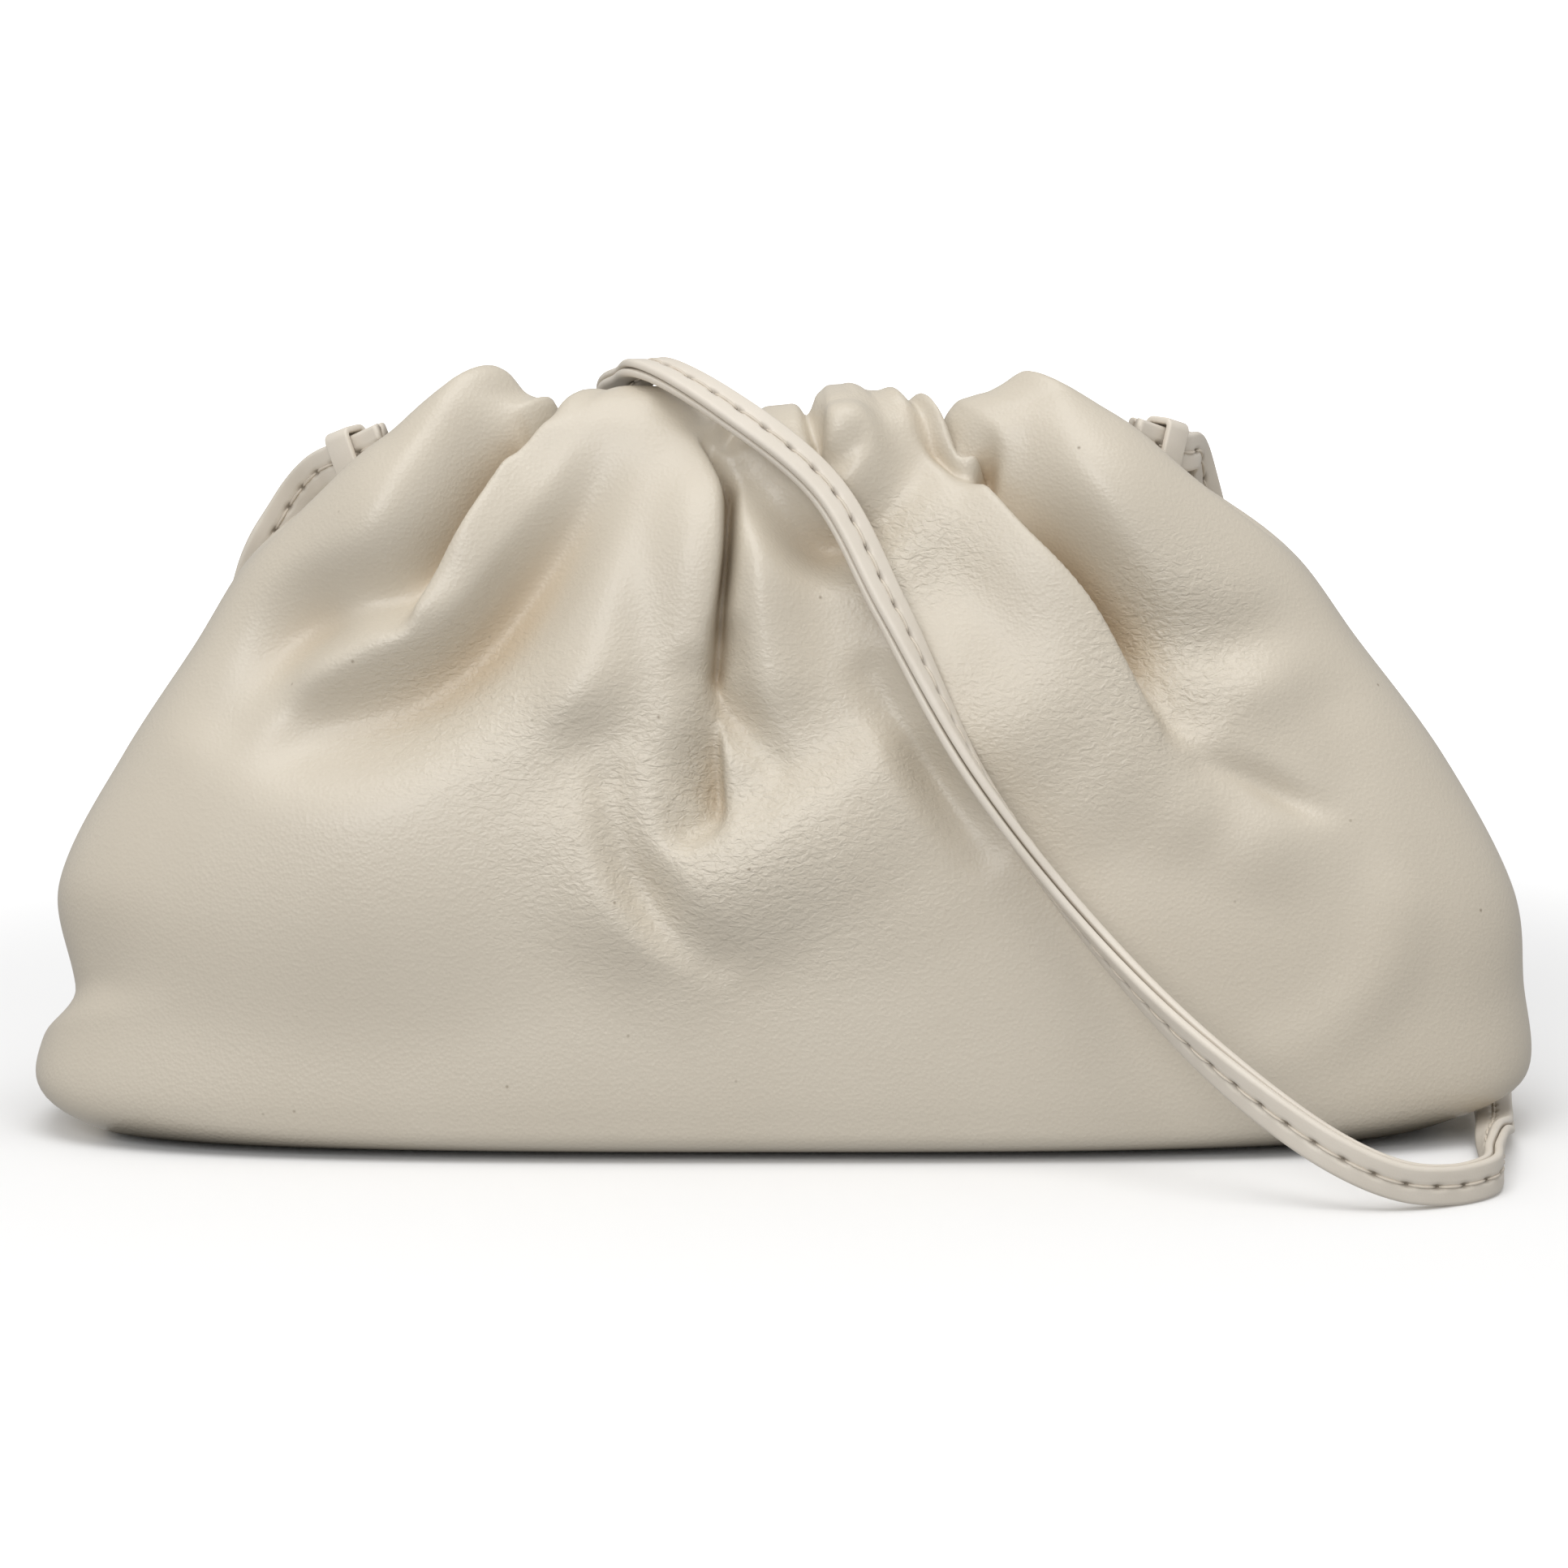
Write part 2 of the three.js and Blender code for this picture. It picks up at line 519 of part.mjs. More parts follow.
function roundedRectangle(outline, width, height, corner) {
  const [x, y] = [width / 2, height / 2];
  outline.moveTo(x - corner, -y);
  outline.quadraticCurveTo(x, -y, x, corner - y);
  outline.lineTo(x, y - corner);
  outline.quadraticCurveTo(x, y, x - corner, y);
  outline.lineTo(corner - x, y);
  outline.quadraticCurveTo(-x, y, -x, y - corner);
  outline.lineTo(-x, corner - y);
  outline.quadraticCurveTo(-x, -y, corner - x, -y);
  outline.closePath();
  return outline;
}

// A leather sleeve round the strap, at a share of its length
function strapKeeper(name, share) {
  const [width, height] = [STRAP_WIDTH, STRAP_THICKNESS].map((size) => size + 2 * KEEPER_PLAY);
  const outline = roundedRectangle(
    new THREE.Shape(), width + 2 * KEEPER_WALL, height + 2 * KEEPER_WALL, KEEPER_CORNER);
  outline.holes.push(roundedRectangle(new THREE.Path(), width, height, KEEPER_CORNER - KEEPER_PLAY));
  const geometry = new THREE.ExtrudeGeometry(
    outline, { depth: KEEPER_LENGTH, bevelEnabled: false, curveSegments: KEEPER_CORNER_STEPS });
  geometry.translate(0, 0, -KEEPER_LENGTH / 2);
  const place = strapCurve.getUtoTmapping(share) * (STRAP_ROUTE.length - 1);
  const { point, run, face, edge } = strapFrame(place);
  const mesh = new THREE.Mesh(geometry, STRAP_LEATHER);
  mesh.setRotationFromMatrix(new THREE.Matrix4().makeBasis(edge, face, run));
  mesh.position.copy(point);
  mesh.name = name;
  return mesh;
}

const keeperShare = KEEPER_FROM_END / strapCurve.getLength();

const pouchBag = new THREE.Group();
pouchBag.add(pouchBody());
pouchBag.add(shoulderStrap());
pouchBag.add(strapKeeper('strap_keeper_left', keeperShare));
pouchBag.add(strapKeeper('strap_keeper_right', 1 - keeperShare));

export default pouchBag;
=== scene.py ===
"""A soft leather pouch bag, gathered into a closed mouth, with its shoulder strap laid over the front."""

import math

import bpy
import numpy as np
from mathutils import Matrix, Vector


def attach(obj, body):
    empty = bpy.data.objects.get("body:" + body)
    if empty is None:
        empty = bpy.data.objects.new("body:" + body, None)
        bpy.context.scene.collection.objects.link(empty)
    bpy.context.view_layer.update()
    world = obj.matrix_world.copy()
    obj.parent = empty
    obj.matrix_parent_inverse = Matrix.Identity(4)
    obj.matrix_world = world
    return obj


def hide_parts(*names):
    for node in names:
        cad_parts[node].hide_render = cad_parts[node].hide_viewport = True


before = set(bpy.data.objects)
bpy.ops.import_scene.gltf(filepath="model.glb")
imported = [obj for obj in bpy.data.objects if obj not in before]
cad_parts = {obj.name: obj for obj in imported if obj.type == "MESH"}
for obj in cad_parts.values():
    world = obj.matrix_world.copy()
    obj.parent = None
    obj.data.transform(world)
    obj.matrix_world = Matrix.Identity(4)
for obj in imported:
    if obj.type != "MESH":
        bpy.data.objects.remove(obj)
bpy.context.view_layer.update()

# Camera
# The bag is seen from straight in front and a little above, from far enough away for a long lens.
# The frame is a little wider than the bag, with its middle at half the bag's height.
VIEW_CENTRE = Vector((-0.0002, 0.0, 0.0507))
VIEW_WIDTH = 0.2303
VIEW_DISTANCE = 1.2
VIEW_ELEVATION = math.radians(9.5)
SENSOR = 36

bpy.ops.object.camera_add()
camera = bpy.context.object
camera.name = "camera"
towards_camera = Vector((0, -math.cos(VIEW_ELEVATION), math.sin(VIEW_ELEVATION)))
camera.location = VIEW_CENTRE + VIEW_DISTANCE * towards_camera
camera.rotation_euler = (math.pi / 2 - VIEW_ELEVATION, 0, 0)
camera.data.sensor_width = SENSOR
camera.data.lens = SENSOR * VIEW_DISTANCE / VIEW_WIDTH
bpy.context.scene.camera = camera

# Shoulder strap
# A narrow strap of two layers of bone leather laid back to back, joined by one row of stitches down
# the middle. Its edges are turned and rounded, with a groove where the layers meet that is dark from
# its depth and from painted shade. Its two ends go through keepers at the ends of the mouth, and the
# rest lies loose on the bag and the floor.
MM = 0.001
STRAP_WIDTH = 5.6 * MM
STRAP_THICKNESS = 2.7 * MM
STRAP_EDGE_RADIUS = 0.62 * MM
GROOVE_DEPTH = 0.75 * MM
GROOVE_HALF_WIDTH = 0.16 * MM
GROOVE_LIP_RADIUS = 0.3 * MM
GROOVE_LIP_FROM = -100
GROOVE_LIP_STEPS = 4
GROOVE_BOTTOM_HALF_WIDTH = 0.02 * MM
STRAP_EDGE_STEPS = 5
STRAP_FACE_SHARES = (0.55, 0.35, 0.2, 0.1)
ON_FACE_WITHIN = 0.01 * MM
STITCH_PITCH = 4.6 * MM
STITCH_HOLE_DEPTH = 0.8 * MM
STITCH_HOLE_LENGTH = 1.2 * MM
STITCH_HOLE_WIDTH = 0.65 * MM
STITCH_BED_DEPTH = 0.22 * MM
STITCH_BED_WIDTH = 0.5 * MM
RINGS_PER_STITCH = 8
ROUTE_SAMPLES = 8000

UP = (0, 0, 1)
BACK = (0, 1, 0)
LEFT = (-1, 0, 0)

# The strap's centre line in millimetres, and which way one of its broad faces looks
STRAP_ROUTE = [
    (-58.2, -1.2, 101.6, (0.55, 1, 0)),
    (-61.7, 1.1, 99.7, (0.55, 1, 0)),
    (-65.2, 3.5, 98, (0.52, 1, 0.05)),
    (-68.2, 6.8, 96.3, (0.45, 1, 0.2)),
    (-71.5, 10.7, 92.7, (0.3, 1, 0.3)),
    (-74.4, 12.8, 88.2, (0.2, 1, 0.35)),
    (-77, 14.2, 83.8, (0.1, 1, 0.4)),
    (-79, 16.2, 78.6, (0.1, 1, 0.4)),
    (-80.6, 19.6, 69, BACK),
    (-86, 28.6, 22, BACK),
    (-84.8, 31.5, 6.6, (0, 1, 1)),
    (-83, 41, 2.2, UP),
    (-75, 72, 1.7, UP),
    (-46, 92, 1.6, UP),
    (-4, 85, 1.9, UP),
    (23, 48, 2.6, UP),
    (25.5, 36.5, 6.6, (0, 1, 1)),
    (12, 34.4, 42, BACK),
    (-17, 25.2, 88, BACK),
    (-25, 10, 107.2, (0, 1, 1)),
    (-22.6, 2, 110, (0.4, 0.4, 1)),
    (-19.5, -5.4, 112.8, (0.1, -0.2, 1)),
    (-9, -14, 108.4, (0.6, -1, 1)),
    (5.7, -19.3, 97, (0.7, -1, 0.8)),
    (15, -26, 80.5, (0.8, -0.8, 0.6)),
    (27, -32.2, 57.5, (1, -0.1, 0.7)),
    (44.5, -36.5, 34.4, (0.95, 0.45, 0.75)),
    (62.2, -53, 18.4, (0.4, 1, 0.45)),
    (77, -60, 8.4, (0.25, 1, 0.1)),
    (86.5, -60.5, 4.3, (0.4, 1, 0)),
    (94, -57, 3, BACK),
    (99.6, -51, 3, (-1, 0.6, 0)),
    (101.4, -40, 3, LEFT),
    (102.4, -27, 2.9, (-1, 0, 0.6)),
    (103.8, -13, 2.1, (-0.2, 0, 1)),
    (104.8, 2, 1.8, UP),
    (105.8, 18, 1.8, UP),
    (104.5, 48, 1.6, UP),
    (91, 64, 1.6, UP),
    (77.5, 51, 2.1, UP),
    (75, 33.5, 6.6, (0, 1, 1)),
    (72.2, 28.4, 44, BACK),
    (68, 23.2, 72, BACK),
    (65.4, 21, 80, BACK),
    (62.8, 18.8, 87.6, (-0.4, 1, 0.3)),
    (61.4, 15.8, 93, (-0.8, 0.8, 0.4)),
    (60.4, 12.4, 97.2, (-1, 0.5, 0.3)),
    (59.8, 9, 98.9, (-1, 0.4, 0)),
    (58.2, 5.4, 99.1, (-0.8, 0.7, 0)),
    (56, 2.8, 99.9, (-0.66, 0.75, 0)),
    (53.2, 0.3, 101.1, (-0.66, 0.75, 0)),
    (50.4, -2.2, 102.4, (-0.66, 0.75, 0)),
]


def unit(vectors):
    return vectors / np.linalg.norm(vectors, axis=-1, keepdims=True)


def hermite(start, end, slope_in, slope_out, t):
    bend = 3 * (end - start) - 2 * slope_in - slope_out
    turn = 2 * (start - end) + slope_in + slope_out
    return start + slope_in * t + bend * t ** 2 + turn * t ** 3


def through(values, place):
    """A Catmull-Rom curve through rows of values, at places counted in rows."""
    last = len(values) - 1
    index = np.minimum(last - 1, np.floor(place).astype(int))
    before, start, end, after = (values[np.clip(index + k, 0, last)] for k in (-1, 0, 1, 2))
    return hermite(start, end, (end - before) / 2, (after - start) / 2, (place - index)[:, None])


def along_route(points, place):
    """A centripetal Catmull-Rom curve through points, at places counted in points."""
    longer = np.vstack([2 * points[0] - points[1], points, 2 * points[-1] - points[-2]])
    index = np.minimum(len(points) - 2, np.floor(place).astype(int))
    before, start, end, after = (longer[index + k] for k in range(4))
    first, middle, last = (
        np.linalg.norm(b - a, axis=1, keepdims=True) ** 0.5
        for a, b in ((before, start), (start, end), (end, after)))
    slope_in = (start - before) / first - (end - before) / (first + middle) + (end - start) / middle
    slope_out = (end - start) / middle - (after - start) / (middle + last) + (after - end) / last
    return hermite(start, end, slope_in * middle, slope_out * middle, (place - index)[:, None])


def bump_at(distance, width):
    """A smooth bump of height 1 that ends a width away."""
    q = np.minimum(1, np.abs(distance) / width)
    return (1 - q ** 2) ** 2


def arc(centre, radius, start, end, steps):
    turns = np.radians(np.linspace(start, end, steps))
    return [(centre[0] + radius * math.cos(a), centre[1] + radius * math.sin(a)) for a in turns]


def strap_outline():
    """One layer's outline on the right edge, from the groove to the stitch line, then its mirrors."""
    edge, face = STRAP_WIDTH / 2, STRAP_THICKNESS / 2
    lip, corner = GROOVE_LIP_RADIUS, STRAP_EDGE_RADIUS
    quarter = [
        (edge - GROOVE_DEPTH, GROOVE_BOTTOM_HALF_WIDTH),
        *arc((edge - lip, GROOVE_HALF_WIDTH + lip), lip, GROOVE_LIP_FROM, 0, GROOVE_LIP_STEPS),
        *arc((edge - corner, face - corner), corner, 0, 90, STRAP_EDGE_STEPS),
        *[(share * edge, face) for share in STRAP_FACE_SHARES],
    ]
    half = quarter + [(0, face)] + [(-across, up) for across, up in reversed(quarter)]
    return np.array(half + [(-across, -up) for across, up in half])


def ring_faces(count, columns):
    """Faces over rings of points, each ring closed, with the first and the last ring capped."""
    corner = np.arange(count * columns).reshape(count, columns)
    beside = np.roll(corner, -1, axis=1)
    quads = np.stack([corner[:-1], beside[:-1], beside[1:], corner[1:]], axis=-1).reshape(-1, 4)
    return quads.tolist() + [corner[0, ::-1].tolist(), corner[-1].tolist()]


def add_piece(name, points, faces):
    """A smooth mesh in the scene."""
    mesh = bpy.data.meshes.new(name)
    mesh.from_pydata(points.reshape(-1, 3).tolist(), [], faces)
    mesh.shade_smooth()
    piece = bpy.data.objects.new(name, mesh)
    bpy.context.scene.collection.objects.link(piece)
    return piece


route_points = np.array([row[:3] for row in STRAP_ROUTE]) * MM
route_faces = unit(np.array([row[3] for row in STRAP_ROUTE], float))
sample_places = np.linspace(0, len(STRAP_ROUTE) - 1, ROUTE_SAMPLES)
sample_steps = np.linalg.norm(np.diff(along_route(route_points, sample_places), axis=0), axis=1)
sample_lengths = np.concatenate([[0], np.cumsum(sample_steps)])
strap_length = sample_lengths[-1]
stitch_count = int(strap_length / STITCH_PITCH)
ring_lengths = np.linspace(0, strap_length, stitch_count * RINGS_PER_STITCH + 1)


def strap_frames(lengths):
    """Points, runs, face directions and edge directions of the strap at lengths along it."""
    step = 0.2 * MM
    places = [np.interp(lengths + k, sample_lengths, sample_places) for k in (-step, 0, step)]
    before, points, after = (along_route(route_points, place) for place in places)
    runs = unit(after - before)
    faces = through(route_faces, places[1])
    faces = unit(faces - np.sum(faces * runs, axis=1, keepdims=True) * runs)
    return points, runs, faces, np.cross(faces, runs)


strap_points, strap_runs, strap_faces, strap_edges = strap_frames(ring_lengths)
outline = strap_outline()
across = np.broadcast_to(outline[:, 0], (len(ring_lengths), len(outline)))
from_hole = (ring_lengths / (strap_length / stitch_count) + 0.5) % 1 - 0.5
hole = bump_at(from_hole * STITCH_PITCH, STITCH_HOLE_LENGTH)[:, None] * bump_at(across, STITCH_HOLE_WIDTH)
bed = bump_at(across, STITCH_BED_WIDTH)
on_face = np.abs(outline[:, 1]) > STRAP_THICKNESS / 2 - ON_FACE_WITHIN
sunk = on_face * np.maximum(STITCH_HOLE_DEPTH * hole, STITCH_BED_DEPTH * bed)
up = outline[:, 1] - np.sign(outline[:, 1]) * sunk
strap_rings = (strap_points[:, None]
               + across[..., None] * strap_edges[:, None]
               + up[..., None] * strap_faces[:, None])
strap = add_piece("shoulder_strap_leather", strap_rings, ring_faces(*strap_rings.shape[:2]))


def add_attribute(piece, name, values):
    """One number for each point of a piece, which its material reads by name."""
    attribute = piece.data.attributes.new(name, "FLOAT", "POINT")
    attribute.data.foreach_set("value", np.ravel(values).astype(np.float32))


# Painted shade: a mask of the stitch holes and the groove, which the strap's material darkens
groove_shade_mask = np.abs(outline[:, 1]) < GROOVE_HALF_WIDTH / 2
add_attribute(strap, "shade", np.maximum(on_face * hole, groove_shade_mask))


def linear(hex_colour):
    """An sRGB hex colour as linear RGBA."""
    parts = [int(hex_colour[k:k + 2], 16) / 255 for k in (1, 3, 5)]
    return [p / 12.92 if p <= 0.04045 else ((p + 0.055) / 1.055) ** 2.4 for p in parts] + [1]


def add_node(tree, kind, inputs=None, **settings):
    """A node with its settings, and each input either set to a value or linked from a socket."""
    node = tree.nodes.new(kind)
    for name, value in settings.items():
        setattr(node, name, value)
    for name, value in (inputs or {}).items():
        if isinstance(value, bpy.types.NodeSocket):
            tree.links.new(value, node.inputs[name])
        else:
            node.inputs[name].default_value = value
    return node


def new_material(name):
    material = bpy.data.materials.new(name)
    material.use_nodes = True
    return material, material.node_tree, material.node_tree.nodes["Principled BSDF"]


# Smooth strap leather: plain bone calf with a faint grain and a soft satin shine. The folded-in groove
# and the stitch holes hold shade, so they are a little darker and warmer than the face.
STRAP_GRAIN = 0.35 * MM
STRAP_MOTTLE = 6 * MM
strap_leather, tree, shader = new_material("strap_leather")
place = add_node(tree, "ShaderNodeTexCoord").outputs["Object"]
grain = add_node(tree, "ShaderNodeTexVoronoi", {"Vector": place, "Scale": 1 / STRAP_GRAIN})
bumps = add_node(tree, "ShaderNodeBump", {
    "Height": grain.outputs["Distance"], "Strength": 0.18, "Distance": 0.06 * MM})
mottle = add_node(tree, "ShaderNodeTexNoise", {"Vector": place, "Scale": 1 / STRAP_MOTTLE, "Detail": 3.0})
tint = add_node(tree, "ShaderNodeMix", {
    "Factor": mottle.outputs["Fac"], "A": linear("#d2c9bb"), "B": linear("#dcd4c8")}, data_type="RGBA")
shade = add_node(tree, "ShaderNodeAttribute", attribute_name="shade")
tint = add_node(tree, "ShaderNodeMix", {
    "Factor": shade.outputs["Fac"], "A": tint.outputs["Result"], "B": linear("#7a6e5e")}, data_type="RGBA")
tree.links.new(tint.outputs["Result"], shader.inputs["Base Color"])
tree.links.new(bumps.outputs["Normal"], shader.inputs["Normal"])
shader.inputs["Roughness"].default_value = 0.46
shader.inputs["Specular IOR Level"].default_value = 0.45
strap.data.materials.append(strap_leather)

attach(strap, "root")
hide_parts("shoulder_strap")

# Strap stitches
# Bone thread in a single running row on each face of the strap. Each stitch lies in the bed that it
# has pulled into the leather and dives into a needle hole at both ends.
THREAD_RADIUS = 0.24 * MM
STITCH_RISE = 0.16 * MM
STITCH_SIDES = 6
STITCH_RINGS = 7
STITCH_SPAN = 0.86
STITCH_DIVE = 2.2
STITCH_DIVE_POWER = 2.5
THREAD_TAPER = 0.45
THREAD_TAPER_POWER = 4
THREAD_TWIST = 0.4 * MM

stitch_shares = np.linspace(-0.5, 0.5, STITCH_RINGS)
from_middle = 2 * np.abs(stitch_shares)
rise = (STRAP_THICKNESS / 2 - STITCH_BED_DEPTH
        + STITCH_RISE * (1 - STITCH_DIVE * from_middle ** STITCH_DIVE_POWER))
radius = THREAD_RADIUS * (1 - THREAD_TAPER * from_middle ** THREAD_TAPER_POWER)
turns = np.arange(STITCH_SIDES) * 2 * math.pi / STITCH_SIDES
one_stitch = ring_faces(STITCH_RINGS, STITCH_SIDES)
stitch_rings = []
stitch_faces = []
for side in (1, -1):
    for stitch in range(stitch_count):
        lengths = (stitch + 0.5 + STITCH_SPAN * stitch_shares) * strap_length / stitch_count
        points, runs, faces, edges = strap_frames(lengths)
        centres = points + side * rise[:, None] * faces
        first = len(stitch_rings) * STITCH_RINGS * STITCH_SIDES
        stitch_faces += [[first + corner for corner in face[::side]] for face in one_stitch]
        stitch_rings.append(centres[:, None]
                            + (radius[:, None] * np.cos(turns))[..., None] * edges[:, None]
                            + side * (radius[:, None] * np.sin(turns))[..., None] * faces[:, None])
stitches = add_piece("strap_stitches", np.array(stitch_rings), stitch_faces)

# Waxed polyester thread: two plies twisted together, close to the leather's own colour but duller
thread, tree, shader = new_material("waxed_thread")
place = add_node(tree, "ShaderNodeTexCoord").outputs["Object"]
plies = add_node(tree, "ShaderNodeTexNoise", {"Vector": place, "Scale": 1 / THREAD_TWIST, "Detail": 2.0})
bumps = add_node(tree, "ShaderNodeBump", {
    "Height": plies.outputs["Fac"], "Strength": 0.3, "Distance": 0.08 * MM})
tree.links.new(bumps.outputs["Normal"], shader.inputs["Normal"])
shader.inputs["Base Color"].default_value = linear("#cfc5b6")
shader.inputs["Roughness"].default_value = 0.55
stitches.data.materials.append(thread)
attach(stitches, "root")

# Strap keepers
# A short sleeve of the same leather at each end of the mouth, folded round the strap and turned over
# at its edges. The strap's end is pushed through it.
KEEPER_LENGTH = 4.2 * MM
KEEPER_WALL = 1 * MM
KEEPER_PLAY = 0.4 * MM
KEEPER_FROM_END = 6.6 * MM
KEEPER_CORNER = 0.9 * MM
KEEPER_CORNER_STEPS = 5
KEEPER_EDGE = 0.35 * MM
KEEPER_EDGE_STEPS = 3
SHARPER_THAN = math.radians(60)
LOOKS_ALONG = 0.9

for name, length in (("left", KEEPER_FROM_END), ("right", strap_length - KEEPER_FROM_END)):
    points, runs, faces, edges = strap_frames(np.array([length]))
    inner_width, inner_height = (size + 2 * KEEPER_PLAY for size in (STRAP_WIDTH, STRAP_THICKNESS))
    bpy.ops.mesh.primitive_cube_add(size=1)
    keeper = bpy.context.object
    keeper.name = f"strap_keeper_{name}_leather"
    keeper.scale = (inner_width + KEEPER_WALL, inner_height + KEEPER_WALL, KEEPER_LENGTH)
    bpy.ops.object.transform_apply(scale=True)
    bpy.ops.object.mode_set(mode="EDIT")
    bpy.ops.mesh.select_mode(type="FACE")
    bpy.ops.mesh.select_all(action="DESELECT")
    bpy.ops.object.mode_set(mode="OBJECT")
    for face in keeper.data.polygons:
        face.select = abs(face.normal.z) > LOOKS_ALONG
    bpy.ops.object.mode_set(mode="EDIT")
    bpy.ops.mesh.delete(type="ONLY_FACE")
    bpy.ops.mesh.select_mode(type="EDGE")
    bpy.ops.mesh.select_all(action="DESELECT")
    bpy.ops.object.mode_set(mode="OBJECT")
    for edge in keeper.data.edges:
        a, b = (keeper.data.vertices[v].co for v in edge.vertices)
        edge.select = abs((a - b).z) > KEEPER_LENGTH / 2
    bpy.ops.object.mode_set(mode="EDIT")
    bpy.ops.mesh.bevel(offset=KEEPER_CORNER, segments=KEEPER_CORNER_STEPS)
    bpy.ops.mesh.select_all(action="SELECT")
    bpy.ops.mesh.normals_make_consistent(inside=False)
    bpy.ops.object.mode_set(mode="OBJECT")
    wall = keeper.modifiers.new("wall", "SOLIDIFY")
    wall.thickness = KEEPER_WALL
    wall.offset = 0
    bpy.ops.object.modifier_apply(modifier="wall")
    turned_edge = keeper.modifiers.new("turned_edge", "BEVEL")
    turned_edge.width = KEEPER_EDGE
    turned_edge.segments = KEEPER_EDGE_STEPS
    turned_edge.angle_limit = SHARPER_THAN
    bpy.ops.object.modifier_apply(modifier="turned_edge")
    basis = Matrix([edges[0], faces[0], runs[0]]).transposed().to_4x4()
    basis.translation = Vector(points[0])
    keeper.data.transform(basis)
    keeper.data.shade_smooth()
    keeper.data.materials.append(strap_leather)
    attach(keeper, "root")
    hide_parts(f"strap_keeper_{name}")

# Pouch body
# One soft shell of smooth bone leather, gathered at the top on a hidden stiffener so that its mouth
# closes in deep unpressed folds. The folds run out into swags over a plain, sagging lower half, and
# the bag stands on the flat that its own weight has pressed into its base.

# Lengths in this section are in millimetres, and shares run from 0 at the floor to 1 at the lip
WALL = 2.4
LIP = 5.6
LIP_ROLL_RINGS = 9
LIP_THICKENS_FROM = 0.7
LIP_LIFT = 0.7
LIP_RUN_RINGS = 3
RIM_FROM = 0.75
RIM_AT_BACK = 0.75
ROLL_FULLNESS = 2.4
FLOOR_BLENDS_BY = 30
FRONT_COLUMNS = 300
BACK_COLUMNS = 140
WIDEST_SECTION = 4
ARC_SAMPLES = 4000
OUTSIDE_RINGS = 161
INSIDE_RING_STEP = 5
SOLE_RINGS = 8
SOLE_MIDDLE = 0.05
ANGLE_STEP = 0.001
PLACE_STEP = 0.01
NO_DISTANCE = 1e-9
END_DROP_POWER = 9
BACK_LIP_DROP = 5
BACK_LIP_DROPS_FROM = 80
BACK_LIP_DROPS_TO = 108
FOLD_STARTS_AT = 3
FOLD_FULL_AT = 16
FACE_EDGE = 0.3
FACE_FULL = 0.75
FOLD_SAMPLES = 40
ROUND_SOFTENINGS = 12
CREASE_SOFTENINGS = 2
LEAN_WIDTH = 5
RIGHT = (1, 0, 0)

# Level sections from the floor to the lip, in millimetres: heights at the middle and the two ends,
# reach to each side of the centre, and how square the plan is (2 is an ellipse)
Z_MIDDLE, Z_LEFT, Z_RIGHT, REACH_LEFT, REACH_RIGHT, REACH_FRONT, REACH_BACK, SQUARE = range(8)
SECTIONS = np.array([
    (0, 0, 0, 97, 90, 21, 21.5, 3.0),
    (2.2, 2.2, 2.6, 104.5, 98.5, 29.4, 29.5, 3.0),
    (7, 8, 8.6, 110.4, 109.2, 31, 31, 3.0),
    (20, 20, 22, 107.5, 108.6, 30.8, 31.1, 2.9),
    (37, 37.5, 36, 106.4, 106.8, 29.5, 30, 2.8),
    (57, 55, 55, 97.3, 96.6, 26.3, 27, 2.6),
    (77, 71, 72, 86.8, 84, 22, 22.5, 2.5),
    (94, 84.5, 85.5, 78, 73.5, 17.2, 17.2, 2.5),
    (104.5, 88.8, 88.6, 69, 62.3, 12.8, 12.5, 2.6),
    (108.5, 89.6, 89.2, 61, 54, 9.8, 9.4, 2.8),
])

# How far the rim of the mouth rises above its plain line, at places along the bag
RIM = np.array([
    (-57, 0),
    (-53.4, 2),
    (-48.6, 4),
    (-46, 3.4),
    (-43.8, 1.6),
    (-41.4, 0.9),
    (-38.4, 1.6),
    (-36.9, -4.4),
    (-35.3, -3),
    (-32, 0.2),
    (-29, -0.1),
    (-20, -0.5),
    (-15, -1.6),
    (-11.5, -4),
    (-8.7, -7),
    (-6, -5),
    (-3.5, -3.6),
    (1.5, -3),
    (3.8, -4),
    (5.2, -2.2),
    (7, -0.6),
    (11, 0.6),
    (14, 0.4),
    (18, 2.4),
    (20.6, 0.6),
    (22.9, -1.6),
    (25, -7),
    (26.6, -6),
    (28, -2.8),
    (30.1, -1.4),
    (34.8, 0),
    (40, 2.3),
    (46, 0.6),
    (51, 0),
])

